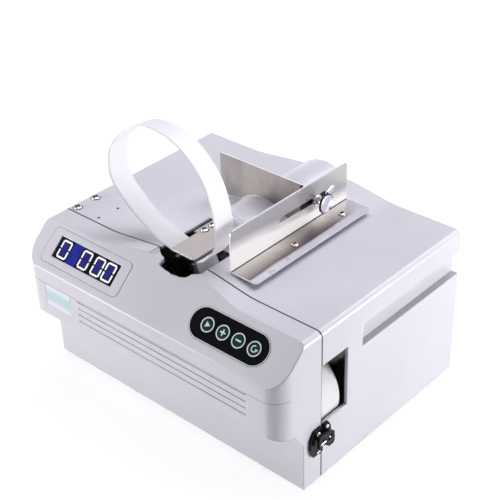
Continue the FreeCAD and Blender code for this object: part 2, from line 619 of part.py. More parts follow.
def make_frame_plate():
    left, width = f"15 - {SIDE}", "case_width - 30"
    plate = box(left, "plate_y", "2", width, "plate_sheet", "side_height - wall - 5")
    foot = box(left, PLATE_BACK, "2", width, "plate_foot", "plate_sheet")
    holes = [rod("Y", x, "plate_y - 1", z, "shaft_radius + 1", "plate_sheet + 2")
             for x, z in (("feed_x", FEED_Z), ("cam_x", CAM_Z))]
    lightening = [box(x, "plate_y - 1", "30", "40", "plate_sheet + 2", "60")
                  for x in (f"35 - {SIDE}", "-rod_left - 50")]
    node("frame_plate", cut(fuse(plate, foot), *holes, *lightening))


def roller(name, bore, radius, x, z):
    """A plain roller as wide as the tape."""
    node(name, turned([(bore, "0"), (radius, "0"), (radius, "tape_width"),
                       (bore, "tape_width")], x, "tape_front + 0.5", z, "Y"))


def make_rollers():
    roller("feed_roller", "shaft_radius + fit", "feed_radius", "feed_x", FEED_Z)
    roller("pinch_roller", "3 + fit", "pinch_radius", "pinch_x", PINCH_Z)
    node("feed_shaft", rod("Y", "feed_x", "2.5", FEED_Z, "shaft_radius",
                           f"{PLATE_BACK} + 15 - 2.5"))
    node("feed_motor", cut(
        fuse(rod("Y", "feed_x", PLATE_BACK, FEED_Z, "21", "48"),
             rod("Y", "feed_x", f"{PLATE_BACK} + 48", FEED_Z, "8", "4")),
        rod("Y", "feed_x", "plate_y", FEED_Z, "shaft_radius + fit", "20")))
    rise, run = f"({PINCH_Z} - {PIVOT_Z})", "(pinch_x - pivot_x)"
    lean = f"atan({run} / {rise})"
    bar = plain_box("8", "4", f"sqrt({run}^2 + {rise}^2)")
    set_at(bar, f"pivot_x - 4 * cos({lean})", "33", f"{PIVOT_Z} + 4 * sin({lean})")
    bar.Placement.Rotation = FreeCAD.Rotation(Y_AXIS, 5)
    bar.setExpression("Placement.Rotation.Angle", bind(lean))
    arm = cut(fuse(bar, rod("Y", "pivot_x", "33", PIVOT_Z, "7", "12"),
                   rod("Y", "pinch_x", "33", PINCH_Z, "5", "4")),
              rod("Y", "pivot_x", "30", PIVOT_Z, "3.5 + fit", "20"))
    node("pinch_arm", fuse(arm, rod("Y", "pinch_x", "3", PINCH_Z, "3", "31")))
    bore, edge, face = "3.5 + fit", "idler_radius + 3", "tape_width + 0.5"
    node("idler_roller", turned([(bore, "-1.5"), (edge, "-1.5"), (edge, "-0.5"),
                                 ("idler_radius", "-0.5"), ("idler_radius", face),
                                 (edge, face), (edge, f"{face} + 1"), (bore, f"{face} + 1")],
                                IDLER_X, "tape_front", IDLER_Z, "Y"))
    node("roller_studs", fuse(rod("Y", "pivot_x", "31", PIVOT_Z, "3.5", "plate_y - 31"),
                              rod("Y", "pivot_x", "46", PIVOT_Z, "4.6", "plate_y - 46"),
                              rod("Y", IDLER_X, "2", IDLER_Z, "3.5", "plate_y - 2"),
                              rod("Y", IDLER_X, "34", IDLER_Z, "6", "plate_y - 34")))


def cam_outline():
    """A cam of even lift for a flat follower: an involute, closed by a straight run."""
    base, rate = size("cam_base"), size("cam_lift") / math.pi
    points = []
    for step in range(25):
        turn = math.radians(step * 8)
        reach = base + rate * turn
        points.append((reach * math.sin(turn) + rate * math.cos(turn),
                       reach * math.cos(turn) - rate * math.sin(turn)))
    return points


def make_press():
    places = ("-rod_left", "rod_right")
    rods = [rod("Z", x, "rod_y", ROD_LOW, "rod_radius", "rod_length") for x in places]
    lugs = [box(f"{x} - 5", "rod_y - 6", f"{ROD_LOW} - 8", "10", "plate_y - rod_y + 6", "8")
            for x in places]
    node("guide_rods", fuse(*rods, *lugs))
    block = box("-rod_left - 5", "rod_y - 8", CARRIAGE_LOW, "rod_left + rod_right + 10", "16",
                "carriage_height")
    arm = box("-17", "6", f"{CARRIAGE_HIGH} - 8", "27", "rod_y - 14", "8")
    slip = "(rod_radius + fit)"
    forks = [box(x, f"rod_y - {slip}", f"{CARRIAGE_LOW} - 1", f"{slip} + 6", f"2 * {slip}",
                 "carriage_height + 2") for x in ("-rod_left - 6", f"rod_right - {slip}")]
    node("press_carriage", cut(fuse(block, arm), *forks))
    tall = f"{CLAMP_TOP} - {CARRIAGE_HIGH}"
    for name, x, across in (("heater_block", "-9", "11"), ("left_clamp", "-15", "4"),
                            ("right_clamp", "5.5", "4")):
        node(name, box(x, "tape_front + 0.5", CARRIAGE_HIGH, across, "tape_width", tall))
    node("cutter_blade", pad("YZ_Plane", [
        ("tape_front + 0.5", CARRIAGE_HIGH), ("tape_front + tape_width + 0.5", CARRIAGE_HIGH),
        ("tape_front + tape_width + 0.5", CLAMP_TOP),
        ("tape_front + 0.5", f"{CLAMP_TOP} - 3")], "3.2", "0.8"))
    centre = FreeCAD.Vector(size("cam_x"), size("seam_y + rod_y - 6"),
                            size(f"foot_height + {CAM_Z}"))
    corners = [centre + FreeCAD.Vector(across, 0, up) for across, up in cam_outline()]
    lift_side = arcs_along(corners, 0.02)
    wire = Part.Wire(lift_side.Edges + [Part.makeLine(corners[-1], corners[0])])
    disc = doc.addObject("Part::Feature", "CamDisc")
    disc.Shape = Part.Face(wire).extrude(Y_AXIS * 12)
    shaft = rod("Y", "cam_x", "44", CAM_Z, "shaft_radius", f"{PLATE_BACK} + 15 - 44")
    hub = rod("Y", "cam_x", "rod_y + 6", CAM_Z, "8", "6")
    node("lift_cam", fuse(disc, shaft, hub))
    gearbox = box("cam_x - 20", PLATE_BACK, f"{CAM_Z} - 20", "40", "34", "40")
    motor = rod("Y", "cam_x", f"{PLATE_BACK} + 34", CAM_Z, "17", "42")
    node("press_motor", cut(fuse(gearbox, motor),
                            rod("Y", "cam_x", "plate_y", CAM_Z, "shaft_radius + fit", "20")))


def make_electrics():
    left = f"(wall + 12 - {SIDE})"
    front = f"({PLATE_BACK} + plate_foot + 3)"
    back = "(case_depth - 31)"
    supply = box(left, front, "2", "supply_width", f"{back} - {front}", "supply_height")
    slots = [box(f"{left} + 8 + {index} * 10", f"{front} - 2", "supply_height - 8", "4",
                 f"{back} - {front} + 4", "12") for index in range(9)]
    node("power_supply", cut(supply, *slots))
    board = box(BOARD_X, BOARD_Y, "10", "board_width", "board_depth", "1.6")
    posts = [rod("Z", f"{BOARD_X} + {x}", f"{BOARD_Y} + {y}", "2", "3", "8.5")
             for x in ("6", "board_width - 6") for y in ("6", "board_depth - 6")]
    node("main_board", fuse(board, *posts))
    parts = [rod("Z", f"{BOARD_X} + {x}", f"{BOARD_Y} + {y}", "11.6", radius, tall)
             for x, y, radius, tall in (("16", "70", "6", "20"), ("32", "70", "6", "20"),
                                        ("50", "72", "4", "12"))]
    parts += [box(f"{BOARD_X} + {x}", f"{BOARD_Y} + {y}", "11.6", dx, dy, tall)
              for x, y, dx, dy, tall in (
                  ("70", "62", "19", "15", "15"), ("94", "62", "19", "15", "15"),
                  ("50", "20", "14", "14", "2"), ("90", "4", "30", "6", "9"),
                  ("10", "4", "24", "6", "9"), ("16", "30", "20", "24", "12"))]
    node("board_parts", fuse(*parts))


def make_back_panel():
    flange = pad("XZ_Plane", [(f"{INLET_X} {dx}", f"inlet_z {dz}") for dx, dz in (
        ("- 18", "- 13"), ("+ 18", "- 13"), ("+ 18", "+ 13"), ("- 18", "+ 13"))],
        "case_depth", "2.5", rounds=[("3", along("Y"))])
    body = box(f"{INLET_X} - 13.7", "case_depth - 22", "inlet_z - 9.9", "27.4", "22", "19.8")
    well = pad("XZ_Plane", [(f"{INLET_X} {dx}", f"inlet_z {dz}") for dx, dz in (
        ("- 12", "- 8"), ("+ 12", "- 8"), ("+ 12", "+ 3"), ("+ 8", "+ 8"), ("- 8", "+ 8"),
        ("- 12", "+ 3"))], "case_depth - 14", "20")
    blades = [box(f"{INLET_X} {dx}", "case_depth - 15", f"inlet_z {dz}", "2", "12", "4")
              for dx, dz in (("- 8", "- 2"), ("- 1", "+ 1.5"), ("+ 6", "- 2"))]
    node("power_inlet", fuse(cut(fuse(flange, body), well), *blades))
    node("switch_bezel", cut(
        fuse(box(f"{SWITCH_X} - 11.1", "case_depth", "inlet_z - 8.5", "22.2", "2", "17"),
             box(f"{SWITCH_X} - 9.5", "case_depth - 16", "inlet_z - 6.4", "19", "16", "12.8")),
        box(f"{SWITCH_X} - 8", "case_depth - 8", "inlet_z - 5.4", "16", "20", "10.8")))
    rocker = pad("YZ_Plane", [
        ("case_depth - 4", "inlet_z - 4.4"), ("case_depth + 3.4", "inlet_z - 4.4"),
        ("case_depth + 1.2", "inlet_z"), ("case_depth + 1.6", "inlet_z + 4.2"),
        ("case_depth - 4", "inlet_z + 4.2")], f"{SWITCH_X} - 7.7", "15.4")
    trunnion = rod("X", f"{SWITCH_X} - 7.9", "case_depth - 1", "inlet_z - 0.1", "1.5", "15.8")
    node("power_rocker", fuse(rocker, trunnion))


# ---------------------------------------------------------------- latch and hinge

def make_latch():
    out = f"({SIDE} + latch_sheet)"
    pivot = ("latch_pivot_y", "latch_pivot_z")
    node("latch_plate", fuse(
        pad("YZ_Plane", [("0.6", "38"), ("10", "38"), ("10", "56"), ("7", "62.5"),
                         ("0.6", "62.5")], SIDE, "latch_sheet", rounds=[("1", along("X"))]),
        rod("X", out, *pivot, "4", "2.1"), rod("X", out, *pivot, "2.5", "6.2"),
        rod("X", f"{out} + 5.4", *pivot, "3.6", "0.8")))
    node("latch_catch", fuse(
        pad("YZ_Plane", [("-18.5", "44"), ("-15", "33.5"), ("-1.5", "33.5"), ("-1.5", "62.5"),
                         ("-12.5", "62.5"), ("-18.2", "54")], SIDE, "latch_sheet",
            rounds=[("1.2", along("X"))]),
        rod("X", out, "-stud_y", "stud_z", "2.2", "5.6")))
    blank = pad("YZ_Plane", [("-12.5", "44"), ("-12.5", "57"), ("-10", "59.5"), ("6", "55.5"),
                             ("9", "53"), ("9", "42"), ("7", "40"), ("1", "40"),
                             ("-2.6", "43.6"), ("-3.3", "stud_z"), ("-9.7", "stud_z"),
                             ("-9.7", "44")], f"{out} + 2.2", "3")
    bore = rod("X", out, *pivot, "2.5 + fit", "7")
    seat = rod("X", out, "-stud_y", "stud_z", "3.2", "7")
    node("latch_hook", cut(blank, bore, seat))
    node("latch_screws", fuse(pan_head(out, "4.2", "58.4", "X", "2.2"),
                              pan_head(out, "5.5", "41.5", "X", "1.6")))
    node("catch_screws", fuse(pan_head(out, "-8.2", "57.5", "X", "2.2"),
                              pan_head(out, "-8.2", "36.5", "X", "2.2")))


def make_hinge():
    axis = (f"-({SIDE} + hinge_radius)", "-seam_gap / 2")
    tall = f"({HINGE_HIGH} - hinge_low)"
    span = f"({tall} / 5)"
    for name, first, low_y, web_y in (("hinge_leaf_case", 0, "0.4", "-0.2"),
                                      ("hinge_leaf_door", 1, "-14.9", "-3")):
        feet = [f"hinge_low + {index} * {span}" for index in range(5)]
        own, others = feet[first::2], feet[1 - first::2]
        knuckles = [rod("Z", *axis, f"{foot} + 0.15", "hinge_radius", f"{span} - 0.3")
                    for foot in own]
        webs = [box(f"-({SIDE} + 1.4)", web_y, f"{foot} + 0.15", "1.4", "2.8", f"{span} - 0.3")
                for foot in own]
        leaf = box(f"-({SIDE} + 1)", low_y, "hinge_low", "1", "14.5", tall)
        bore = rod("Z", *axis, "hinge_low - 1", "hinge_pin + fit" if first else "hinge_pin",
                   f"{tall} + 2")
        relief = [rod("Z", *axis, f"{foot} - 0.15", "hinge_radius + 0.3", f"{span} + 0.3")
                  for foot in others]
        node(name, cut(fuse(*knuckles, leaf, *webs), bore, *relief))
    node("hinge_pin", turned([("0", "0"), ("2.2", "0"), ("2.2", "1"), ("hinge_pin", "1"),
                              ("hinge_pin", f"{tall} + 1.5"), ("0", f"{tall} + 1.5")],
                             *axis, "hinge_low - 1", "Z"))


def make_cover_screws():
    heads = [pan_head(f"{x} - {SIDE}", y, "side_height", "Z", "4.6")
             for x, y in (("10.7", "7.2"), ("10.2", "31.8"))]
    rivets = [turned([("0", "0"), ("1.3", "0"), ("1.3", "0.3"), ("0", "0.6")],
                     f"{x} - {SIDE}", y, "side_height", "Z")
              for x, y in (("42", "7"), ("43.5", "31.5"))]
    node("cover_screws", fuse(*heads, *rivets))


# ---------------------------------------------------------------- build, check, write

make_housing()
make_base()
make_door()
make_display()
make_keypad()
make_note_table()
make_guide()
make_rear_stop()
make_band()
make_tape_run()
make_roll()
make_frame_plate()
make_rollers()
make_press()
make_electrics()
make_back_panel()
make_latch()
make_hinge()
make_cover_screws()
doc.recompute()

for obj in doc.Objects:
    if "Invalid" in obj.State or "Error" in obj.State:
        raise RuntimeError(f"{obj.Name} ({obj.Label}) failed: {obj.State}")
for obj in nodes:
    if obj.Shape.isNull() or not obj.Shape.isValid():
        raise RuntimeError(f"{obj.Label} has no valid shape")

os.makedirs("parts", exist_ok=True)
for obj in nodes:
    obj.Shape.exportStep(f"parts/{obj.Label}.step")
print(len(nodes), "parts written")
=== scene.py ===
"""Looks for a banknote strapping machine, laid out as an add-on.

One operator dresses each piece or group of like pieces, and one sets up the studio.
Lengths in the code are millimetres in the model's own frame until mesh_piece scales them;
shaders and the studio work in metres.
"""

import math

import bmesh
import bpy
from bpy.props import FloatProperty, FloatVectorProperty, PointerProperty, StringProperty
from mathutils import Euler, Matrix, Vector


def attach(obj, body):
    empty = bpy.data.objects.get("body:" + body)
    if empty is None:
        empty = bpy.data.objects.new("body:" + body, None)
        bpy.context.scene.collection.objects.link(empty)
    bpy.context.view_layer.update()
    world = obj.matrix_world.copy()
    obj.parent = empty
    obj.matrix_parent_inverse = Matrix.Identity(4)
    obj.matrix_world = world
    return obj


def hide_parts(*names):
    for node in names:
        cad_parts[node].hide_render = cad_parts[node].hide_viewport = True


bl_info = {
    "name": "Banknote strapping machine",
    "version": (1, 0, 0),
    "blender": (4, 5, 0),
    "location": "3D View > Sidebar > Strapper",
    "description": "Finishes, printed marks and studio for a banknote strapping machine",
    "category": "Object",
}

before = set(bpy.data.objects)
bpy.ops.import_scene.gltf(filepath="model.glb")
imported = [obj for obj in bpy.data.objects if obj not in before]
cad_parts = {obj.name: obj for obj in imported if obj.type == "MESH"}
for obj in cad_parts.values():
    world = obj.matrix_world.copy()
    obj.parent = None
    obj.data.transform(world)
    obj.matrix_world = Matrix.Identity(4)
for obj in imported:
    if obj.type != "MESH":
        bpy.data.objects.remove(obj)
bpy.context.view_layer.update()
MM = 0.001


# ---------------------------------------------------------------- settings a user may change

def tint(name, description, default):
    return FloatVectorProperty(
        name=name, description=description, subtype="COLOR", size=3, min=0.0, max=1.0,
        default=default,
    )


def length(name, description, default):
    """A size in millimetres."""
    return FloatProperty(name=name, description=description, default=default, min=0.0)


class StrapperColours(bpy.types.PropertyGroup):
    """Base colours of the finishes."""

    shell: tint("Shell", "Moulded case and front cover", (0.735, 0.722, 0.785))
    label: tint("Label", "Bare plate on the front cover", (0.86, 0.86, 0.95))
    label_band: tint("Label band", "Cool band across the bare plate", (0.56, 0.72, 0.80))
    guide_steel: tint("Guide steel", "Brushed note guide", (0.50, 0.485, 0.49))
    stop_steel: tint("Stop steel", "Brushed rear stop", (0.34, 0.31, 0.295))
    tongue_steel: tint("Tongue steel", "Polished tongue plate", (0.68, 0.62, 0.63))
    keypad: tint("Keypad", "Keypad panel", (0.004, 0.004, 0.007))
    button: tint("Buttons", "Membrane of the four buttons", (0.005, 0.040, 0.027))
    printed: tint("Print", "Rings and signs of the keypad", (0.80, 0.86, 0.83))
    window: tint("Window", "Display window between the digits", (0.004, 0.003, 0.022))
    cell: tint("Cell", "Lit field behind each digit", (0.018, 0.020, 0.20))
    gap_cell: tint("Gap cell", "Lit field between the first two digits", (0.014, 0.022, 0.26))
    paper: tint("Paper", "Strapping tape", (0.985, 0.98, 1.0))
    board: tint("Circuit board", "Solder mask", (0.02, 0.16, 0.06))


class StrapperSizes(bpy.types.PropertyGroup):
    """Sizes of the printed and fitted details, in millimetres."""

    band_lean_side: length("Band lean, sideways", "How far the band's rear edge leans left", 3.2)
    band_lean_down: length("Band lean, down", "How far the band's rear edge sits lower", 4.0)
    band_thick: length("Band thickness", "Thickness of the paper band", 0.25)
    digit_wide: length("Digit width", "Width of a display digit", 13.0)
    digit_tall: length("Digit height", "Height of a display digit", 19.0)
    digit_stroke: length("Digit stroke", "Width of a display segment", 1.9)
    ring_wide: length("Ring width", "Width of the ring on a button", 1.15)
    outline_wide: length("Outline width", "Width of the line round the keypad", 0.8)
    recess_share: FloatProperty(
        name="Screw recess", description="Width of a cross recess against its screw's radius",
        default=0.36, min=0.1, max=0.8,
    )
    shown_number: StringProperty(
        name="Shown number", description="Four digits, with a space after the first for the gap",
        default="0 000",
    )


class StrapperStudio(bpy.types.PropertyGroup):
    """Camera and light."""

    lens: FloatProperty(name="Lens", description="Focal length in mm", default=86.871)
    ambient: FloatProperty(
        name="Ambient", description="Strength of the light from all round", default=0.10,
    )
    side_power: FloatProperty(
        name="Side light", description="Power of the low lamp at the right", default=15.1,
        subtype="POWER",
    )
    front_power: FloatProperty(
        name="Front light", description="Power of the low lamp at the front left", default=21.5,
        subtype="POWER",
    )
    top_power: FloatProperty(
        name="Top light", description="Power of the lamp overhead", default=11.2,
        subtype="POWER",
    )
    back_power: FloatProperty(
        name="Back light", description="Power of the high lamp behind", default=11.5,
        subtype="POWER",
    )
    floor: tint("Floor", "Colour of the floor", (0.85, 0.85, 0.86))


# ---------------------------------------------------------------- shader sums

class Wire:
    """A shader socket that can stand in a Python sum.

    Values use Math nodes, and vectors and colours use Vector Math nodes.
    """

    def __init__(self, paint, socket):
        self.paint = paint
        self.socket = socket

    def combined(self, operation, left, right):
        wires = [part for part in (left, right) if isinstance(part, Wire)]
        flat = all(wire.socket.type == "VALUE" for wire in wires)
        flat = flat and not any(isinstance(part, tuple) for part in (left, right))
        kind = "ShaderNodeMath" if flat else "ShaderNodeVectorMath"
        return self.paint.node(kind, {"operation": operation}, {0: left, 1: right})

    def __add__(self, other):
        return self.combined("ADD", self, other)

    def __radd__(self, other):
        return self.combined("ADD", other, self)

    def __sub__(self, other):
        return self.combined("SUBTRACT", self, other)

    def __rsub__(self, other):
        return self.combined("SUBTRACT", other, self)

    def __mul__(self, other):
        return self.combined("MULTIPLY", self, other)

    def __rmul__(self, other):
        return self.combined("MULTIPLY", other, self)

    def __gt__(self, other):
        return self.combined("GREATER_THAN", self, other)

    def __lt__(self, other):
        return self.combined("LESS_THAN", self, other)


class Paint:
    """One node tree under construction, for a material or the world."""

    def __init__(self, owner):
        self.owner = owner
        owner.use_nodes = True
        self.tree = owner.node_tree
        self.tree.nodes.clear()

    def node(self, kind, settings=None, inputs=None, output=0):
        """Adds a node: settings first, then each socket's value or link. Gives one output."""
        made = self.tree.nodes.new(kind)
        for name, value in (settings or {}).items():
            if name == "stops":
                self.set_stops(made.color_ramp, value)
            else:
                setattr(made, name, value)
        for key, value in (inputs or {}).items():
            self.feed(made.inputs[key], value)
        return Wire(self, made.outputs[output] if len(made.outputs) else None)

    def feed(self, socket, value):
        if isinstance(value, Wire):
            self.tree.links.new(value.socket, socket)
        elif socket.type == "VECTOR" and isinstance(value, (int, float)):
            socket.default_value = (value, value, value)
        elif socket.type == "RGBA" and len(value) == 3:
            socket.default_value = (*value, 1.0)
        else:
            socket.default_value = value

    def set_stops(self, ramp, stops):
        while len(ramp.elements) < len(stops):
            ramp.elements.new(1.0)
        for element, (position, colour) in zip(ramp.elements, stops):
            element.position = position
            element.color = (*colour, 1.0)

    def place(self):
        """Where the point lies on the piece, in metres."""
        return self.node("ShaderNodeTexCoord", output=3)

    def noise(self, at, scale, detail, rough=0.5):
        return self.node("ShaderNodeTexNoise", {}, {
            "Vector": at, "Scale": scale, "Detail": detail, "Roughness": rough,
        })

    def layers(self, position, scale):
        """Noise along one number, for wound or stacked layers."""
        return self.node("ShaderNodeTexNoise", {"noise_dimensions": "1D"}, {
            "W": position, "Scale": scale, "Detail": 2.0,
        })

    def part(self, vector, axis):
        """One of a vector's three numbers."""
        return self.node("ShaderNodeSeparateXYZ", {}, {0: vector}, output=axis)

    def length(self, vector):
        return self.node("ShaderNodeVectorMath", {"operation": "LENGTH"}, {0: vector}, output=1)

    def spread(self, value, low, high, to_low=0.0, to_high=1.0):
        """value's stretch from low to high, moved to to_low to to_high and held there."""
        return self.node("ShaderNodeMapRange", {"clamp": True}, {
            "Value": value, "From Min": low, "From Max": high,
            "To Min": to_low, "To Max": to_high,
        })

    def mix(self, share, first, second):
        return self.node("ShaderNodeMix", {"data_type": "RGBA"}, {
            0: share, 6: first, 7: second,
        }, output=2)

    def relief(self, height, depth, edge=0.0004):
        """A normal with relief of depth metres over edges softened by a radius of edge metres."""
        soft = self.node("ShaderNodeBevel", {"samples": 6}, {"Radius": edge})
        return self.node("ShaderNodeBump", {}, {
            "Height": height, "Distance": depth, "Strength": 1.0, "Normal": soft,
        })

    def finish(self, colour, roughness, normal=None, let_through=0.0, glow=None, **fixed):
        """Joins a Principled shader to the output. fixed names its other sockets.

        let_through is the share of light that a thin sheet passes to its other side, and
        glow is that light's colour.
        """
        shader = self.node("ShaderNodeBsdfPrincipled", {}, {
            "Base Color": colour, "Roughness": roughness,
            **{name.replace("_", " "): value for name, value in fixed.items()},
        })
        if normal is not None:
            self.feed(shader.socket.node.inputs["Normal"], normal)
        if let_through:
            behind = self.node("ShaderNodeBsdfTranslucent", {}, {"Color": glow})
            shader = self.node("ShaderNodeMixShader", {}, {0: let_through, 1: shader, 2: behind})
        self.node("ShaderNodeOutputMaterial", {}, {"Surface": shader})
        return self.owner


def near(value, middle, half):
    """1 where value, in metres, is within half of middle, both in millimetres, and 0 elsewhere."""
    off = value - middle * MM
    return off * off < (half * MM) ** 2


def shade(colour, by):
    """colour, a wire or three numbers, made darker or lighter."""
    if isinstance(colour, Wire):
        return colour * by
    return tuple(min(1.0, channel * by) for channel in colour)


def reach(name, axis):
    """A CAD node's lowest and highest place along an axis, in metres."""
    places = [corner[axis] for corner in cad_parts[name].bound_box]
    return min(places), max(places)


def colours():
    return bpy.context.scene.strapper_colours


def sizes():
    return bpy.context.scene.strapper_sizes


# ---------------------------------------------------------------- finishes

def moulded(paint, colour, rough, depth, edge, grain=2400, shadow=None, **fixed):
    """Moulded plastic: a fine even grain, broad faint clouding and a little uneven sheen.

    shadow, where it is given, is how far the plastic is free of painted shade, from 0 where the
    shade is painted in full to 1.
    """
    at = paint.place()
    cloud = paint.noise(at, 11, 3)
    pits = paint.noise(at, grain, 2)
    rub = paint.noise(at, 160, 4, 0.65)
    tone = paint.mix(paint.spread(cloud, 0.35, 0.65), shade(colour, 1.015), shade(colour, 0.97))
    # Painted shade: the colour goes near black where shadow falls towards 0.
    if shadow is not None:
        tone = paint.mix(shadow, shade(colour, 0.04), tone)
    sheen = rough + (rub - 0.5) * 0.10 + (pits - 0.5) * 0.06
    return paint.finish(tone, sheen, paint.relief(pits, depth, edge), **fixed)


# Painted shade along the seam between cover and case, full near its middle and fading out a little
# further off.
SEAM_MIDDLE, SEAM_DARK, SEAM_SHADE_END = -76.25, 0.55, 1.05
GRIP_LEDGE, GRIP_WALL, LEDGE_SHADE_HALF = 121.5, 164.6, 0.5


def shell_plastic(paint):
    """Pale moulding, with painted shade along the seam of cover and case and on the grips' ledges.
    """
    at = paint.place()
    off = paint.part(at, 1) - SEAM_MIDDLE * MM
    unshaded = paint.spread(off * off, (SEAM_DARK * MM) ** 2, (SEAM_SHADE_END * MM) ** 2)
    # Painted shade on the grips' ledges, inside the side walls.
    inside_wall = near(paint.part(at, 0), 0.0, GRIP_WALL)
    dust_and_shade = near(paint.part(at, 2), GRIP_LEDGE, LEDGE_SHADE_HALF) * inside_wall
    return moulded(paint, tuple(colours().shell), 0.40, depth=0.000008, edge=0.0018,
                   shadow=unshaded * (1.0 - dust_and_shade * 0.40), Coat_Weight=0.35, Coat_Roughness=0.16)


LABEL_BAND_HALF, LABEL_BAND_END = 3.5, 8.0


def cover_label(paint):
    """Satin film, near white with a pale cool band across its middle."""
    at = paint.place()
    low, high = reach("front_label", 2)
    off = paint.part(at, 2) - (low + high) / 2
    fade = paint.spread(off * off, (LABEL_BAND_HALF * MM) ** 2, (LABEL_BAND_END * MM) ** 2)
    weave = paint.noise(at, 700, 3)
    tone = paint.mix(fade, tuple(colours().label_band), tuple(colours().label))
    tone = paint.mix(weave * 0.08, tone, (1.0, 1.0, 1.0))
    return paint.finish(tone, 0.30 + weave * 0.12, paint.relief(weave, 0.00001), Coat_Weight=0.3)


def brushed(paint, colour, along, rough, across_scale=2600, metal=1.0, **fixed):
    """Sheet metal brushed along one direction, with handling smudges and faint stains.

    along holds how fine the lines run in each direction, 1 across the brushing.
    """
    at = paint.place()
    lines = paint.noise(at * along, across_scale, 4, 0.7)
    wide = paint.noise(at * along, across_scale * 0.12, 3, 0.6)
    smudge = paint.noise(at, 30, 2, 0.4)
    tone = paint.mix(lines, shade(colour, 0.86), shade(colour, 1.10))
    tone = paint.mix(paint.spread(wide, 0.3, 0.7) * 0.5, tone, shade(colour, 0.93))
    tone = paint.mix(paint.spread(smudge, 0.40, 0.80) * 0.22, tone, shade(colour, 0.78))
    sheen = rough + (lines - 0.5) * 0.16 + (smudge - 0.5) * 0.12
    return paint.finish(tone, sheen, paint.relief(lines, 0.000006, 0.0003), Metallic=metal,
                        **fixed)


# Colours of painted light: a painted highlight on bright edges and painted shade in a fold.
GLINT = (0.97, 0.96, 0.98)
FOLD_SHADE = (0.03, 0.025, 0.025)
GUIDE_FOLD, FOLD_DARK, FLANGE_RISE, GUIDE_RIM = (51.0, 177.3), 0.8, 0.4, 0.25
# Where the upright leg shows a painted reflection, and that reflection's colour.
LIT_BELOW, LIT_FADED, LIT_FALL = 190.0, 203.0, 0.10
LIT_STEEL = (1.0, 0.97, 0.97)
FLANGE_STREAK = (0.17, 0.145, 0.14)
# Painted reflection on the flange, as colour stops from its fold out to its edge.
FLANGE_PAINTED_STOPS = (
    (0.0, (0.70, 0.68, 0.66)), (0.22, (0.52, 0.49, 0.46)), (0.54, (0.33, 0.29, 0.275)),
    (0.69, FLANGE_STREAK), (0.78, (0.70, 0.68, 0.75)),
)
STREAK_MIDDLE = 25.0
PALE_END_START, PALE_END_WHOLE = 80.0, 115.0


def flange_tones(paint, out, along, streak):
    """The flange's painted reflection from its fold (0) out to its edge (1), paler towards its
    rear and with a darker streak near its middle.
    """
    tones = paint.node("ShaderNodeValToRGB", {"stops": FLANGE_PAINTED_STOPS}, {0: out})
    rear = paint.spread(along + out * 0.03, PALE_END_START * MM, PALE_END_WHOLE * MM)
    tones = paint.mix(rear, tones, FLANGE_PAINTED_STOPS[-1][1])
    off = along - STREAK_MIDDLE * MM + streak * 0.02
    middle = paint.spread(off * off, 0.0, 0.0010, 0.6, 0.0)
    return paint.mix(middle * (out < 0.76), tones, FLANGE_STREAK)


def guide_steel(paint):
    """Brushed sheet with painted light: a painted reflection and glow where its two legs light
    each other, painted shade in its fold and painted highlights at its edges.
    """
    at = paint.place()
    across, along, up = (paint.part(at, axis) for axis in range(3))
    outer, top = reach("note_guide", 0)[1], reach("note_guide", 2)[1]
    front = reach("note_guide", 1)[0]
    fold_x, fold_z = (value * MM for value in GUIDE_FOLD)
    streak = paint.noise(at * (1.0, 0.25, 1.0), 60, 3) - 0.5
    # Painted reflection on the upright leg, fading upwards and towards the back.
    lit = paint.spread(up + along * LIT_FALL + streak * 0.006, LIT_BELOW * MM, LIT_FADED * MM,
                       1.0, 0.0)
    flange = up < fold_z + FLANGE_RISE * MM
    out = paint.spread(across + streak * 0.004, fold_x, outer)
    steel = paint.mix(lit, tuple(colours().guide_steel), LIT_STEEL)
    steel = paint.mix(flange, steel, flange_tones(paint, out, along, streak))
    # Painted highlights along the top and front edges.
    edge = (up > top - GUIDE_RIM * MM) + (along < front + GUIDE_RIM * MM)
    edge = paint.spread(edge, 0.0, 1.0)
    steel = paint.mix(edge, steel, GLINT)
    # Painted shade in the fold.
    off_x, off_z = across - fold_x, up - fold_z
    dark = off_x * off_x + off_z * off_z < (FOLD_DARK * MM) ** 2
    steel = paint.mix(dark * 0.88, steel, FOLD_SHADE)
    # Where light is painted, the steel is less metallic so that it stays pale.
    pale = paint.spread(flange * (out > 0.72) + (1.0 - flange) * lit + edge, 0.0, 1.0)
    # The emission is a painted glow on the upright leg, which is no lamp.
    return brushed(paint, steel, (0.02, 0.02, 1.0), 0.30, metal=1.0 - pale * 0.85,
                   Emission_Color=(1.0 - flange) * lit * (1.0 - dark), Emission_Strength=0.12)


SLOT_SHADE, SLOT_MARGIN, STOP_RIM = (0.02, 0.02, 0.02), 2.0, 0.2


def stop_steel(paint):
    """Duller brushed sheet, with painted shade behind the guide's slot and a painted highlight
    along its top edge.
    """
    at = paint.place()
    top, inner = reach("rear_stop", 2)[1], reach("note_guide", 0)[0]
    steel = tuple(colours().stop_steel)
    cloud = paint.noise(at * (1.0, 1.0, 0.5), 28, 3)
    steel = paint.mix(paint.spread(cloud, 0.35, 0.65), shade(steel, 0.75), shade(steel, 1.2))
    # Painted shade behind the guide's slot.
    steel = paint.mix(paint.part(at, 0) > inner - SLOT_MARGIN * MM, steel, SLOT_SHADE)
    # Painted highlight along the top edge.
    edge = paint.part(at, 2) > top - STOP_RIM * MM
    steel = paint.mix(edge, steel, GLINT)
    return brushed(paint, steel, (0.02, 0.3, 1.0), 0.36, metal=1.0 - edge * 0.65)


TONGUE_RIM = 0.7


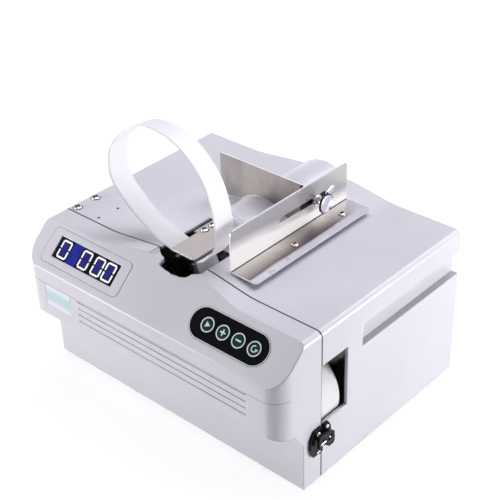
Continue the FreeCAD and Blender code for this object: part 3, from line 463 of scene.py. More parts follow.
def tongue_steel(paint):
    """Polished sheet, with a painted highlight along its rolled front edge."""
    # Painted highlight along the rolled front edge.
    edge = paint.part(paint.place(), 1) < reach("tongue_plate", 1)[0] + TONGUE_RIM * MM
    steel = paint.mix(edge, tuple(colours().tongue_steel), GLINT)
    return brushed(paint, steel, (1.0, 0.02, 0.02), 0.30, metal=1.0 - edge * 0.65)


def plain_metal(paint, colour, rough, depth=0.000005):
    """Turned, plated or polished metal with fine marks and a faint tarnish."""
    at = paint.place()
    marks = paint.noise(at, 3000, 3, 0.6)
    tarnish = paint.noise(at, 70, 4, 0.6)
    tone = paint.mix(paint.spread(tarnish, 0.4, 0.7) * 0.5, colour, shade(colour, 0.8))
    sheen = rough + (marks - 0.5) * 0.12 + (tarnish - 0.5) * 0.14
    return paint.finish(tone, sheen, paint.relief(marks, depth, 0.0003), Metallic=1.0)


def chrome(paint):
    return plain_metal(paint, (0.82, 0.82, 0.84), 0.13, depth=0.000002)


WING_RADIUS, WING_RIM = 10.0, 8.9


def wing_plate(paint):
    """Bright plating, with a painted dark reflection round the rim of the wing nut's disc."""
    at = paint.place()
    low_y, low_z = reach("wing_nut", 1)[0], reach("wing_nut", 2)[0]
    out = (at - (0.0, low_y + WING_RADIUS * MM, low_z + WING_RADIUS * MM)) * (0.0, 1.0, 1.0)
    radius = paint.length(out)
    # Painted dark reflection round the disc's rim.
    rim = (radius > WING_RIM * MM) * (radius < (WING_RADIUS + 0.1) * MM)
    marks = paint.noise(at, 3000, 3, 0.6)
    tone = paint.mix(rim, (0.80, 0.79, 0.84), (0.03, 0.03, 0.03))
    return paint.finish(tone, 0.15 + marks * 0.1, paint.relief(marks, 0.000003, 0.0003),
                        Metallic=1.0)


def zinc_plate(paint):
    """Bright zinc with its faint blue and yellow bloom."""
    at = paint.place()
    spangle = paint.node("ShaderNodeTexVoronoi", {}, {"Vector": at, "Scale": 260.0}, output=1)
    bloom = paint.noise(at, 45, 3)
    marks = paint.noise(at, 2500, 3)
    tone = paint.mix(paint.spread(bloom, 0.35, 0.65), (0.56, 0.58, 0.62), (0.62, 0.60, 0.55))
    tone = paint.mix(0.10, tone, spangle)
    sheen = 0.34 + (marks - 0.5) * 0.16
    return paint.finish(tone, sheen, paint.relief(marks, 0.000004, 0.0004), Metallic=1.0)


def milled_alloy(paint):
    return brushed(paint, (0.72, 0.72, 0.74), (1.0, 0.05, 0.05), 0.32, across_scale=1800)


def turned_brass(paint):
    return plain_metal(paint, (0.74, 0.66, 0.53), 0.26)


def black_gloss(paint):
    """Glossy black lacquer, dusty, with hairline rubbing."""
    at = paint.place()
    dust_and_shade = paint.noise(at, 1800, 3, 0.7)
    rub = paint.noise(at * (1.0, 0.1, 1.0), 900, 3)
    dusty = paint.spread(dust_and_shade, 0.62, 0.75) * 0.35
    tone = paint.mix(dusty, (0.008, 0.008, 0.010), (0.09, 0.09, 0.10))
    sheen = 0.16 + paint.spread(rub, 0.45, 0.75) * 0.22
    return paint.finish(tone, sheen, paint.relief(rub, 0.000003, 0.0005),
                        Specular_IOR_Level=0.14)


def black_moulding(paint):
    return moulded(paint, (0.008, 0.008, 0.009), 0.55, depth=0.00003, edge=0.0005, grain=1500,
                   Specular_IOR_Level=0.2)


FILM_GRAIN = 3400


def keypad_film(paint):
    """Textured membrane film."""
    return moulded(paint, tuple(colours().keypad), 0.40, depth=0.000006, edge=0.0005,
                   grain=FILM_GRAIN, Specular_IOR_Level=0.04)


def button_film(paint):
    """The same film over a button, a little softer at its edge."""
    return moulded(paint, tuple(colours().button), 0.40, depth=0.000006, edge=0.0006,
                   grain=FILM_GRAIN, Specular_IOR_Level=0.1)


def print_ink(paint):
    """Screen-printed ink, a little uneven."""
    at = paint.place()
    mottle = paint.noise(at, 1500, 3)
    ink = tuple(colours().printed)
    tone = paint.mix(mottle, ink, shade(ink, 0.93))
    return paint.finish(tone, 0.45 + mottle * 0.1, paint.relief(mottle, 0.000004, 0.0001))


def window_film(paint):
    """The near-black face of the display."""
    at = paint.place()
    haze = paint.noise(at, 90, 3)
    dark = tuple(colours().window)
    tone = paint.mix(haze * 0.5, dark, shade(dark, 2.0))
    return paint.finish(tone, 0.20 + haze * 0.08, paint.relief(haze, 0.000004, 0.0003),
                        Specular_IOR_Level=0.12)


def lit_field(paint, colour, strength):
    """A backlit field of the display, a little uneven in brightness."""
    at = paint.place()
    glow = paint.noise(at, 120, 2)
    tone = paint.mix(paint.spread(glow, 0.3, 0.7), shade(colour, 0.75), shade(colour, 1.25))
    return paint.finish(shade(colour, 0.2), 0.3, Emission_Color=tone,
                        Emission_Strength=strength, Specular_IOR_Level=0.1)


def lit_cell(paint):
    return lit_field(paint, tuple(colours().cell), 0.9)


def lit_gap(paint):
    return lit_field(paint, tuple(colours().gap_cell), 0.9)


def lit_segment(paint):
    return lit_field(paint, (0.97, 0.98, 1.0), 1.0)


def tape_paper(paint):
    """Smooth strapping paper with faint lengthwise fibres."""
    at = paint.place()
    fibre = paint.noise(at * (1.0, 0.25, 1.0), 900, 4, 0.65)
    cloud = paint.noise(at, 60, 3)
    paper = tuple(colours().paper)
    tone = paint.mix(paint.spread(fibre, 0.35, 0.7), paper, shade(paper, 0.95))
    tone = paint.mix(cloud * 0.2, tone, shade(paper, 0.93))
    return paint.finish(tone, 0.5 + (fibre - 0.5) * 0.15, paint.relief(fibre, 0.00001, 0.0001),
                        let_through=0.35, glow=shade(paper, 0.965))


ROLL_AXIS = Vector((115.0, 0.0, 77.0)) * MM


def wound_paper(paint):
    """A roll's sides, where each wrap shows as a fine ring."""
    radius = paint.length((paint.place() - tuple(ROLL_AXIS)) * (1.0, 0.0, 1.0))
    wraps = paint.layers(radius, 2600)
    bands = paint.layers(radius, 260)
    paper = tuple(colours().paper)
    tone = paint.mix(paint.spread(wraps, 0.3, 0.7) * 0.6, paper, shade(paper, 0.80))
    tone = paint.mix(paint.spread(bands, 0.4, 0.7) * 0.3, tone, shade(paper, 0.86))
    return paint.finish(tone, 0.65, paint.relief(wraps, 0.00004, 0.0003))


def core_card(paint):
    """Spiral-wound card of the roll's core."""
    at = paint.place()
    fibre = paint.noise(at * (0.4, 1.0, 0.4), 1200, 5, 0.7)
    tone = paint.mix(fibre, (0.36, 0.25, 0.15), (0.58, 0.44, 0.29))
    return paint.finish(tone, 0.85, paint.relief(fibre, 0.00008, 0.0004))


def foot_rubber(paint):
    return moulded(paint, (0.022, 0.022, 0.023), 0.75, depth=0.00005, edge=0.0006, grain=1100)


def roller_rubber(paint):
    """Ground rubber with fine grooves round it."""
    at = paint.place()
    rings = paint.layers(paint.part(at, 1), 2200)
    wear = paint.noise(at, 320, 4)
    tone = paint.mix(wear, (0.13, 0.13, 0.14), (0.21, 0.21, 0.22))
    return paint.finish(tone, 0.62 + (wear - 0.5) * 0.2, paint.relief(rings, 0.00004, 0.0004))


TRACKS_ACROSS, TRACKS_UP = 620, 560


def circuit_board(paint):
    """Green solder mask over copper tracks, with tinned pads. Tracks are counted per metre."""
    at = paint.place()
    across, upward = (
        paint.node("ShaderNodeMath", {"operation": "FRACT"}, {0: paint.part(at, axis) * tracks})
        for axis, tracks in ((0, TRACKS_ACROSS), (2, TRACKS_UP)))
    blocks = paint.node("ShaderNodeTexVoronoi", {"distance": "CHEBYCHEV"},
                        {"Vector": at, "Scale": 130.0}, output=1)
    choice = paint.part(blocks, 0)
    track = (across < 0.35) * (choice > 0.55) + (upward < 0.35) * (choice < 0.35)
    dots = paint.node("ShaderNodeTexVoronoi", {}, {"Vector": at, "Scale": 300.0})
    pad = dots < 0.16
    green = tuple(colours().board)
    tone = paint.mix(track, green, shade(green, 1.9))
    tone = paint.mix(pad, tone, (0.62, 0.60, 0.55))
    return paint.finish(tone, 0.28 + pad * 0.1, paint.relief(track + pad, 0.00002, 0.0002),
                        Metallic=pad * 0.9)


def finished(maker):
    """The material that maker describes, made once."""
    known = bpy.data.materials.get(maker.__name__)
    return known or maker(Paint(bpy.data.materials.new(maker.__name__)))


def dress(maker, *nodes):
    """Gives CAD nodes a finish, with tidy shading across their facets."""
    for name in nodes:
        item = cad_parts[name]
        item.data.materials.clear()
        item.data.materials.append(finished(maker))
        tidy_shading(item)


SHARP_EDGE, ROUNDED_EDGE, BAND_EDGE = (math.radians(angle) for angle in (32, 35, 60))
JOIN_WITHIN = 0.002


def tidy_shading(item):
    """Joins doubled corners and splits the shading only at real edges."""
    normals = item.data.attributes.get("custom_normal")
    if normals is not None:
        item.data.attributes.remove(normals)
    item.data.shade_smooth()
    item.modifiers.new("Join", "WELD").merge_threshold = JOIN_WITHIN * MM
    split = item.modifiers.new("Edges", "EDGE_SPLIT")
    split.split_angle = SHARP_EDGE


# ---------------------------------------------------------------- mesh helpers

SIDE, BACK, TOP = (1, 0, 0), (0, 1, 0), (0, 0, 1)
SLOPE_ORIGIN = Vector((0.0, -135.0, 136.0))
SLOPE_UP = Vector((0.0, 0.7412, 0.6713))
SLOPE_OUT = Vector((0.0, -0.6713, 0.7412))


def on_slope():
    """Moves (across, up the slope, out of it) to the model's frame."""
    turn = Matrix((Vector(SIDE), SLOPE_UP, SLOPE_OUT)).transposed().to_4x4()
    return Matrix.Translation(SLOPE_ORIGIN) @ turn


def facing(point, outward, upward):
    """Moves a flat drawing to point, its front towards outward and its top towards upward."""
    out = Vector(outward).normalized()
    up = Vector(upward)
    across = up.cross(out).normalized()
    turn = Matrix((across, out.cross(across), out)).transposed().to_4x4()
    return Matrix.Translation(Vector(point)) @ turn


def mesh_piece(name, mesh, body, maker, place=None, rounds=0.0, angle=SHARP_EDGE):
    """Turns a bmesh in millimetres into a finished piece that rides on body."""
    if place is not None:
        mesh.transform(place)
    mesh.transform(Matrix.Scale(MM, 4))
    bmesh.ops.recalc_face_normals(mesh, faces=mesh.faces)
    data = bpy.data.meshes.new(name)
    mesh.to_mesh(data)
    mesh.free()
    data.materials.append(finished(maker))
    data.shade_smooth()
    piece = bpy.data.objects.new(name, data)
    bpy.context.scene.collection.objects.link(piece)
    if rounds:
        bevel = piece.modifiers.new("Rounds", "BEVEL")
        bevel.width = rounds * MM
        bevel.segments = 3
        bevel.limit_method = "ANGLE"
        bevel.angle_limit = ROUNDED_EDGE
    split = piece.modifiers.new("Edges", "EDGE_SPLIT")
    split.split_angle = angle
    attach(piece, body)
    return piece


def add_prism(mesh, outline, low, high):
    """A flat outline given thickness from low to high."""
    bottom = [mesh.verts.new((x, y, low)) for x, y in outline]
    top = [mesh.verts.new((x, y, high)) for x, y in outline]
    mesh.faces.new(list(reversed(bottom)))
    mesh.faces.new(top)
    for index in range(len(outline)):
        after = (index + 1) % len(outline)
        mesh.faces.new((bottom[index], bottom[after], top[after], top[index]))


def add_frame(mesh, outer, inner, low, high):
    """A flat ring between two outlines of equal count."""
    rows = [[mesh.verts.new((x, y, z)) for x, y in line]
            for line, z in ((outer, low), (outer, high), (inner, high), (inner, low))]
    count = len(outer)
    for row, following in zip(rows, rows[1:] + rows[:1]):
        for index in range(count):
            after = (index + 1) % count
            mesh.faces.new((row[index], row[after], following[after], following[index]))


def add_turned(mesh, profile, place, steps):
    """A profile of (radius, height) pairs turned about Z, then moved to place."""
    rows = []
    for radius, height in profile:
        ring = circle(radius, steps) if radius else [(0.0, 0.0)]
        rows.append([mesh.verts.new((x, y, height)) for x, y in ring])
    for row, following in zip(rows, rows[1:]):
        for step in range(steps):
            after = (step + 1) % steps
            corners = [row[step % len(row)], row[after % len(row)],
                       following[after % len(following)], following[step % len(following)]]
            unique = list(dict.fromkeys(corners))
            if len(unique) > 2:
                mesh.faces.new(unique)
    bmesh.ops.transform(mesh, matrix=place, verts=[vert for row in rows for vert in row])


def circle(radius, steps=48, centre=(0.0, 0.0), start=0.0, sweep=2 * math.pi):
    """Points round a circle, or along an arc of it."""
    count = steps if sweep >= 2 * math.pi else steps + 1
    return [(centre[0] + radius * math.cos(start + sweep * step / steps),
             centre[1] + radius * math.sin(start + sweep * step / steps))
            for step in range(count)]


def stadium(left, right, low, high):
    """A bar with half-round ends."""
    radius, middle = (high - low) / 2, (high + low) / 2
    turn = math.pi / 2
    return (circle(radius, 20, (right - radius, middle), -turn, math.pi)
            + circle(radius, 20, (left + radius, middle), turn, math.pi))


def oblong(left, right, low, high):
    """A rectangle with sharp corners."""
    return [(left, low), (right, low), (right, high), (left, high)]


def plus_outline(arm, half):
    """A plus with arms this long and half this wide, counted from its middle."""
    return [(-arm, -half), (-half, -half), (-half, -arm), (half, -arm), (half, -half),
            (arm, -half), (arm, half), (half, half), (half, arm), (-half, arm), (-half, half),
            (-arm, half)]


def rounded(left, right, low, high, radius):
    """A rectangle with round corners."""
    turn = math.pi / 2
    return (circle(radius, 8, (right - radius, low + radius), -turn, turn)
            + circle(radius, 8, (right - radius, high - radius), 0.0, turn)
            + circle(radius, 8, (left + radius, high - radius), turn, turn)
            + circle(radius, 8, (left + radius, low + radius), 2 * turn, turn))


# ---------------------------------------------------------------- display

BEZEL_LEFT, BEZEL_RIGHT, BEZEL_LOW, BEZEL_HIGH, BEZEL_CORNER = -148.0, -39.0, 8.7, 46.2, 6.0
DISPLAY_LOW, DISPLAY_HIGH = 16.2, 38.7
GAP_LEFT, GAP_RIGHT = -116.3, -103.2
GLASS_FACE = -0.2
FIELD_THICK, SEGMENT_THICK = 0.04, 0.12
FIELD_MARGIN, CELL_INSET, SEGMENT_GAP, SEGMENT_CUT = 0.3, 1.1, 0.8, 0.95
BEZEL_SHADE_WIDE = 0.5
DIGIT_MIDDLES = {0: -124.6, 2: -94.9, 3: -76.8, 4: -61.6}
SEGMENTS_LIT = {
    "0": "abcdef", "1": "bc", "2": "abged", "3": "abgcd", "4": "fgbc", "5": "afgcd",
    "6": "afgedc", "7": "abc", "8": "abcdefg", "9": "abcdfg",
}


def segment_outlines(middle, low, wide, tall, stroke):
    """The seven bars of one digit as outlines, with cut corners and a gap at mid height."""
    left, right = middle - wide / 2, middle + wide / 2
    high, centre = low + tall, low + tall / 2
    gap, corner = SEGMENT_GAP, stroke * SEGMENT_CUT

    def level(edge, inward):
        inner = edge + inward * stroke
        side = edge + inward * corner
        return [(left, side), (left + corner, edge), (right - corner, edge), (right, side),
                (right - stroke, inner), (left + stroke, inner)]

    def upright(edge, inward, end, towards):
        inner = edge + inward * stroke
        return [(edge, end + towards * corner), (inner, end + towards * stroke),
                (inner, centre - towards * gap), (edge, centre - towards * gap)]

    half = stroke * 0.5
    bar = oblong(left + stroke + gap, right - stroke - gap, centre - half, centre + half)
    return {
        "a": level(high, -1), "d": level(low, 1), "b": upright(right, -1, high, -1),
        "c": upright(right, -1, low, 1), "e": upright(left, 1, low, 1),
        "f": upright(left, 1, high, -1), "g": bar,
    }


def make_display():
    dress(shell_plastic, "display_bezel")
    dress(window_film, "display_glass")
    dress(circuit_board, "display_module")
    wide, tall, stroke = sizes().digit_wide, sizes().digit_tall, sizes().digit_stroke
    low = (DISPLAY_LOW + DISPLAY_HIGH - tall) / 2
    segments, cells, gaps, bezel_shade = (bmesh.new() for _ in range(4))
    for index, sign in enumerate(sizes().shown_number):
        if index not in DIGIT_MIDDLES:
            add_prism(gaps, oblong(GAP_LEFT, GAP_RIGHT,
                                   DISPLAY_LOW + FIELD_MARGIN, DISPLAY_HIGH - FIELD_MARGIN),
                      GLASS_FACE, GLASS_FACE + FIELD_THICK)
            continue
        middle = DIGIT_MIDDLES[index]
        bars = segment_outlines(middle, low, wide, tall, stroke)
        for bar in SEGMENTS_LIT[sign]:
            add_prism(segments, bars[bar], GLASS_FACE, GLASS_FACE + SEGMENT_THICK)
        inset = stroke + CELL_INSET
        half = wide / 2 - inset
        add_prism(cells, oblong(middle - half, middle + half, low + inset, low + tall - inset),
                  GLASS_FACE, GLASS_FACE + FIELD_THICK)
    # Painted shade: a thin black ring lies in the bezel's seat, where shade falls round the bezel.
    inner = BEZEL_SHADE_WIDE
    add_frame(bezel_shade,
              rounded(BEZEL_LEFT, BEZEL_RIGHT, BEZEL_LOW, BEZEL_HIGH, BEZEL_CORNER),
              rounded(BEZEL_LEFT + inner, BEZEL_RIGHT - inner, BEZEL_LOW + inner,
                      BEZEL_HIGH - inner, BEZEL_CORNER - inner),
              0.0, FIELD_THICK)
    place = on_slope()
    mesh_piece("bezel_joint", bezel_shade, "door", black_moulding, place)
    mesh_piece("display_segments", segments, "door", lit_segment, place)
    mesh_piece("display_cells", cells, "door", lit_cell, place)
    mesh_piece("display_gap", gaps, "door", lit_gap, place)


# ---------------------------------------------------------------- keypad

PAD_LEFT, PAD_RIGHT, PAD_LOW, PAD_HIGH = 47.1, 137.9, 11.3, 42.6
PAD_FACE, BUTTON_FACE = 0.3, 0.8
PAD_MARGIN, RING_MARGIN = 0.15, 0.1
SIGN_REACH, SIGN_HALF = 3.1, 0.75
START_SIGN = ((-2.1, -2.8), (SIGN_REACH, 0.0), (-2.1, 2.8))
REPEAT_RING, REPEAT_START, REPEAT_SWEEP = (3.3, 2.2), math.radians(75), math.radians(285)
REPEAT_HEAD = ((2.75, -2.4), (4.5, 0.35), (0.75, 0.35))
BUTTON_ROW, BUTTON_RADIUS = 27.0, 7.25
BUTTON_MIDDLES = (67.5, 85.7, 103.9, 122.1)
PRINT_THICK = 0.04


def plus_sign(mesh, low, high):
    add_prism(mesh, plus_outline(SIGN_REACH, SIGN_HALF), low, high)


def minus_sign(mesh, low, high):
    add_prism(mesh, oblong(-SIGN_REACH, SIGN_REACH, -SIGN_HALF, SIGN_HALF), low, high)


def start_sign(mesh, low, high):
    """A triangle that points right, for run."""
    add_prism(mesh, START_SIGN, low, high)


def repeat_sign(mesh, low, high):
    """An open ring with an arrow head, for start again."""
    outer, inner = (circle(radius, 30, start=REPEAT_START, sweep=REPEAT_SWEEP)
                    for radius in REPEAT_RING)
    add_prism(mesh, outer + inner[::-1], low, high)
    add_prism(mesh, REPEAT_HEAD, low, high)


def make_keypad():
    dress(keypad_film, "keypad_panel")
    dress(circuit_board, "keypad_board")
    outline = bmesh.new()
    outer, inner = (
        stadium(PAD_LEFT + inset, PAD_RIGHT - inset, PAD_LOW + inset, PAD_HIGH - inset)
        for inset in (PAD_MARGIN, PAD_MARGIN + sizes().outline_wide))
    add_frame(outline, outer, inner, PAD_FACE, PAD_FACE + PRINT_THICK)
    mesh_piece("keypad_outline", outline, "door", print_ink, on_slope())
    signs = (start_sign, plus_sign, minus_sign, repeat_sign)
    for index, (across, draw) in enumerate(zip(BUTTON_MIDDLES, signs), 1):
        dress(button_film, f"button_{index}")
        marks = bmesh.new()
        ring = BUTTON_RADIUS - RING_MARGIN
        add_frame(marks, circle(ring), circle(ring - sizes().ring_wide),
                  BUTTON_FACE, BUTTON_FACE + PRINT_THICK)
        draw(marks, BUTTON_FACE, BUTTON_FACE + PRINT_THICK)
        place = on_slope() @ Matrix.Translation((across, BUTTON_ROW, 0.0))
        mesh_piece(f"button_{index}_marks", marks, f"button_{index}", print_ink, place)


# ---------------------------------------------------------------- band and roll

BAND = ((11, 0), (-6, 0.1), (-19, 0.4), (-28.5, 2.6), (-46, 9.3), (-72, 24), (-94, 46),
        (-97.5, 64), (-91, 87), (-65, 113), (-35, 121.3), (-1, 113), (24, 90), (35, 64),
        (38.5, 34), (34, 19), (23, 4.5), (13.1, -0.9))
BAND_LEVEL, BAND_TALL = 175.9, 121.3
BAND_FRONT, BAND_BACK = -71.5, -45.5
BAND_STRIPS, SPAN_STEPS, LEAN_EASE = 8, 10, 0.8


def through(points):
    """A smooth line through points, from each to the next in equal steps."""
    points = [Vector(point) for point in points]
    ends = [points[0] * 2 - points[1], *points, points[-1] * 2 - points[-2]]
    line = []
    for before, start, end, after in zip(ends, ends[1:], ends[2:], ends[3:]):
        for step in range(SPAN_STEPS):
            share = step / SPAN_STEPS
            line.append(0.5 * ((2 * start) + (end - before) * share
                               + (2 * before - 5 * start + 4 * end - after) * share ** 2
                               + (3 * start - before - 3 * end + after) * share ** 3))
    return line + [points[-1]]


def make_band():
    dress(tape_paper, "tape_run")
    mesh, rows = bmesh.new(), []
    for x, height in through(BAND):
        rise = max(0.0, min(1.0, height / BAND_TALL)) ** LEAN_EASE
        row = []
        for step in range(BAND_STRIPS + 1):
            share = step / BAND_STRIPS
            row.append(mesh.verts.new((
                x - sizes().band_lean_side * share * rise,
                BAND_FRONT + (BAND_BACK - BAND_FRONT) * share,
                BAND_LEVEL + height - sizes().band_lean_down * share * rise,
            )))
        rows.append(row)
    for row, following in zip(rows, rows[1:]):
        for step in range(BAND_STRIPS):
            mesh.faces.new((row[step], row[step + 1], following[step + 1], following[step]))
    band = mesh_piece("paper_band", mesh, "case", tape_paper, angle=BAND_EDGE)
    thick = band.modifiers.new("Paper", "SOLIDIFY")
    thick.thickness = sizes().band_thick * MM
    thick.offset = 0.0
    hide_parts("tape_loop")


def make_roll():
    dress(wound_paper, "tape_roll")
    dress(core_card, "roll_core")
    dress(black_moulding, "roll_hub", "roll_knob")
    dress(chrome, "roll_spindle")


# ---------------------------------------------------------------- screws

RECESS_REACH, RECESS_LOW, RECESS_HIGH, RECESS_TURN = 0.66, 0.9, 2.0, math.radians(20)
DOME = ((1.0, 0.35), (0.97, 0.75), (0.86, 1.2), (0.68, 1.55), (0.42, 1.8), (0.2, 1.9))
DOME_TOP = 1.93
SHADOW_RING_INNER, SHADOW_RING_OUTER, SHADOW_RING_TALL = 0.9, 1.14, 0.22
HEAD_STEPS, RIVET_STEPS, PIN_STEPS = 40, 28, 24
RIVET = ((1.3, 0.0), (1.25, 0.25), (0.9, 0.5))
RIVET_TALL = 0.6
RIVET_PLACES = ((-123.0, -69.0, 170.0), (-121.5, -44.5, 170.0))


def add_cross_head(heads, shaded_marks, radius, place):
    """A domed head with a painted shadow under it as a thin black ring, and a black cross of
    painted shade for the recess in its top.
    """
    dome = [(radius * share, height) for share, height in DOME]
    add_turned(heads, [(0.0, 0.0), (radius, 0.0), *dome, (0.0, DOME_TOP)], place, HEAD_STEPS)
    before = set(shaded_marks.verts)
    add_prism(shaded_marks, plus_outline(radius * RECESS_REACH, radius * sizes().recess_share / 2),
              RECESS_LOW, RECESS_HIGH)
    bmesh.ops.transform(shaded_marks, verts=[vert for vert in shaded_marks.verts if vert not in before],
                        matrix=place @ Matrix.Rotation(RECESS_TURN, 4, "Z"))
    # Painted contact shadow: a thin black ring under the head.
    inner, rim = radius * SHADOW_RING_INNER, radius * SHADOW_RING_OUTER
    add_turned(shaded_marks, [(inner, 0.0), (rim, 0.0), (rim, SHADOW_RING_TALL), (inner, SHADOW_RING_TALL)],
               place, HEAD_STEPS)


def make_screws(name, body, maker, spots, aim, up):
    """Cross-head screws in place of a CAD node's plain domes. spots holds (point, radius)."""
    heads, shaded_marks = bmesh.new(), bmesh.new()
    for point, radius in spots:
        add_cross_head(heads, shaded_marks, radius, facing(point, aim, up))
    piece = mesh_piece(f"{name}_heads", heads, body, maker)
    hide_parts(name)
    # The black crosses and rings are painted shade in the recesses and under the heads.
    mesh_piece(f"{name}_recesses", shaded_marks, body, black_gloss)


def make_rivets():
    """Two small dark rivets beside the cover's screws."""
    rivets = bmesh.new()
    for point in RIVET_PLACES:
        add_turned(rivets, [(0.0, 0.0), *RIVET, (0.0, RIVET_TALL)],
                   facing(point, TOP, BACK), RIVET_STEPS)
    mesh_piece("cover_rivets", rivets, "case", black_gloss)


def make_all_screws():
    make_screws("cover_screws", "case", zinc_plate,
                (((-154.3, -68.8, 170.0), 4.6), ((-154.8, -44.2, 170.0), 4.6)), TOP, BACK)
    make_screws("tongue_screws", "case", chrome,
                (((-17.0, -28.5, 178.0), 4.0), ((-17.0, -17.0, 178.0), 4.0)), TOP, BACK)
    make_screws("guide_screws", "case", turned_brass,
                (((66.0, 6.5, 177.3), 3.6), ((66.0, 78.0, 177.3), 3.6)), TOP, BACK)
    make_screws("latch_screws", "case", chrome,
                (((168.0, -71.8, 64.4), 2.2), ((168.0, -70.5, 47.5), 1.6)), SIDE, TOP)
    make_screws("catch_screws", "door", chrome,
                (((168.0, -84.2, 63.5), 2.2), ((168.0, -84.2, 42.5), 2.2)), SIDE, TOP)
    make_rivets()


# ---------------------------------------------------------------- latch

LATCH_FACE = 173.2
LATCH_BAR = (-87.3, -79.4, 54.4, 56.4)
LATCH_BAR_TALL, LATCH_BAR_ROUND = 0.6, 0.25
LATCH_PIN = ((1.0, 0.0), (0.95, 0.4), (0.6, 0.65))
LATCH_PIN_TALL = 0.75
LATCH_PIN_PLACES = ((-74.2, 56.7), (-73.6, 52.1))


def make_latch():
    dress(black_gloss, "latch_plate", "latch_catch", "latch_hook")
    bar, pins = bmesh.new(), bmesh.new()
    add_prism(bar, oblong(*LATCH_BAR), 0.0, LATCH_BAR_TALL)
    mesh_piece("latch_bar", bar, "hook", chrome,
               facing((LATCH_FACE, 0.0, 0.0), SIDE, TOP), rounds=LATCH_BAR_ROUND)
    for y, z in LATCH_PIN_PLACES:
        add_turned(pins, [(0.0, 0.0), *LATCH_PIN, (0.0, LATCH_PIN_TALL)],
                   facing((LATCH_FACE, y, z), SIDE, TOP), PIN_STEPS)
    mesh_piece("latch_pins", pins, "hook", chrome)


# ---------------------------------------------------------------- studio

CAMERA_AT = Vector((675.440, -723.101, 783.213)) * MM
CAMERA_TURN = tuple(math.radians(angle) for angle in (56.9181, 1.9463, 42.3829))
CAMERA_SHIFT, CAMERA_CLIP = (0.043667, 0.015925), (0.02, 40.0)
SENSOR_WIDE = 36.0
LAMP_TARGET = Vector((0.0, 0.0, 0.08))
PLAIN_LIGHT, COOL_LIGHT = (1.0, 1.0, 1.0), (0.93, 0.92, 1.0)
LAMPS = (
    ("side", (1.35, 0.70, 0.25), 0.6, PLAIN_LIGHT),
    ("front", (-1.15, -1.35, 0.35), 0.8, PLAIN_LIGHT),
    ("top", (-0.3, 0.3, 1.7), 1.2, COOL_LIGHT),
    ("back", (0.2, 1.0, 1.3), 1.0, COOL_LIGHT),
)
FLOOR_HALF, FLOOR_DROP, FLOOR_NEAR, FLOOR_FAR = 6.0, 0.0003, 0.3, 0.9


def lamp(name, at, width, power, colour):
    """A round soft lamp that shines at the middle of the machine."""
    light = bpy.data.lights.new(name, "AREA")
    light.shape = "DISK"
    light.size = width
    light.energy = power
    light.color = colour
    item = bpy.data.objects.new(name, light)
    bpy.context.scene.collection.objects.link(item)
    item.location = at
    item.rotation_euler = (LAMP_TARGET - Vector(at)).to_track_quat("-Z", "Y").to_euler()


def ray_kinds(paint, *names):
    """1 for each named kind of ray, and 0 for the rest."""
    path = paint.node("ShaderNodeLightPath").socket.node
    return [Wire(paint, path.outputs[name]) for name in names]


def surround_paint(paint):
    """White to the camera; a room that darkens overhead to metal; soft light to the rest."""
    camera, glossy, clear = ray_kinds(
        paint, "Is Camera Ray", "Is Glossy Ray", "Is Transmission Ray")
    up = paint.part(paint.node("ShaderNodeTexCoord", output=0), 2)
    room = paint.spread(up, 0.15, 0.95, 1.0, 0.30)
    ambient = bpy.context.scene.strapper_studio.ambient
    shown = camera + clear
    strength = shown + (1 - shown) * room * (glossy + (1 - glossy) * ambient)
    back = paint.node("ShaderNodeBackground", {}, {"Color": (1.0, 1.0, 1.0), "Strength": strength})
    paint.node("ShaderNodeOutputWorld", {}, {"Surface": back})


def floor_paint(paint):
    """A pale floor that reads as white where it is lit and keeps the object's shadow."""
    at = paint.place()
    mottle = paint.noise(at, 3, 3)
    base = tuple(bpy.context.scene.strapper_studio.floor)
    tone = paint.mix(mottle, base, shade(base, 0.985))
    dull = {"Roughness": 1.0, "Specular IOR Level": 0.0}
    matt = paint.node("ShaderNodeBsdfPrincipled", {}, {"Base Color": tone, **dull})
    away = paint.spread(paint.length(at), FLOOR_NEAR, FLOOR_FAR)
    white = paint.mix(away, (0.84, 0.84, 0.85), (1.0, 1.0, 1.0))
    shown = paint.node("ShaderNodeBsdfPrincipled", {}, {
        "Base Color": shade(base, 0.35), "Emission Color": white, "Emission Strength": 1.0, **dull,
    })
    seen = sum(ray_kinds(paint, "Is Camera Ray", "Is Glossy Ray", "Is Transmission Ray"))
    mixed = paint.node("ShaderNodeMixShader", {}, {0: seen, 1: matt, 2: shown})
    paint.node("ShaderNodeOutputMaterial", {}, {"Surface": mixed})
    return paint.owner


def make_studio():
    scene = bpy.context.scene
    studio = scene.strapper_studio
    camera = bpy.data.cameras.new("camera")
    camera.lens = studio.lens
    camera.sensor_width = SENSOR_WIDE
    camera.shift_x, camera.shift_y = CAMERA_SHIFT
    camera.clip_start, camera.clip_end = CAMERA_CLIP
    eye = bpy.data.objects.new("camera", camera)
    scene.collection.objects.link(eye)
    eye.location = CAMERA_AT
    eye.rotation_euler = Euler(CAMERA_TURN, "XYZ")
    scene.camera = eye

    for name, at, width, colour in LAMPS:
        lamp(name, at, width, getattr(studio, f"{name}_power"), colour)

    plane = bmesh.new()
    bmesh.ops.create_grid(plane, x_segments=8, y_segments=8, size=FLOOR_HALF)
    data = bpy.data.meshes.new("floor")
    plane.to_mesh(data)
    plane.free()
    data.materials.append(finished(floor_paint))
    floor = bpy.data.objects.new("floor", data)
    scene.collection.objects.link(floor)
    floor.location.z = -FLOOR_DROP

    world = bpy.data.worlds.new("surround")
    scene.world = world
    surround_paint(Paint(world))
    scene.view_settings.view_transform = "Standard"


# ---------------------------------------------------------------- operators

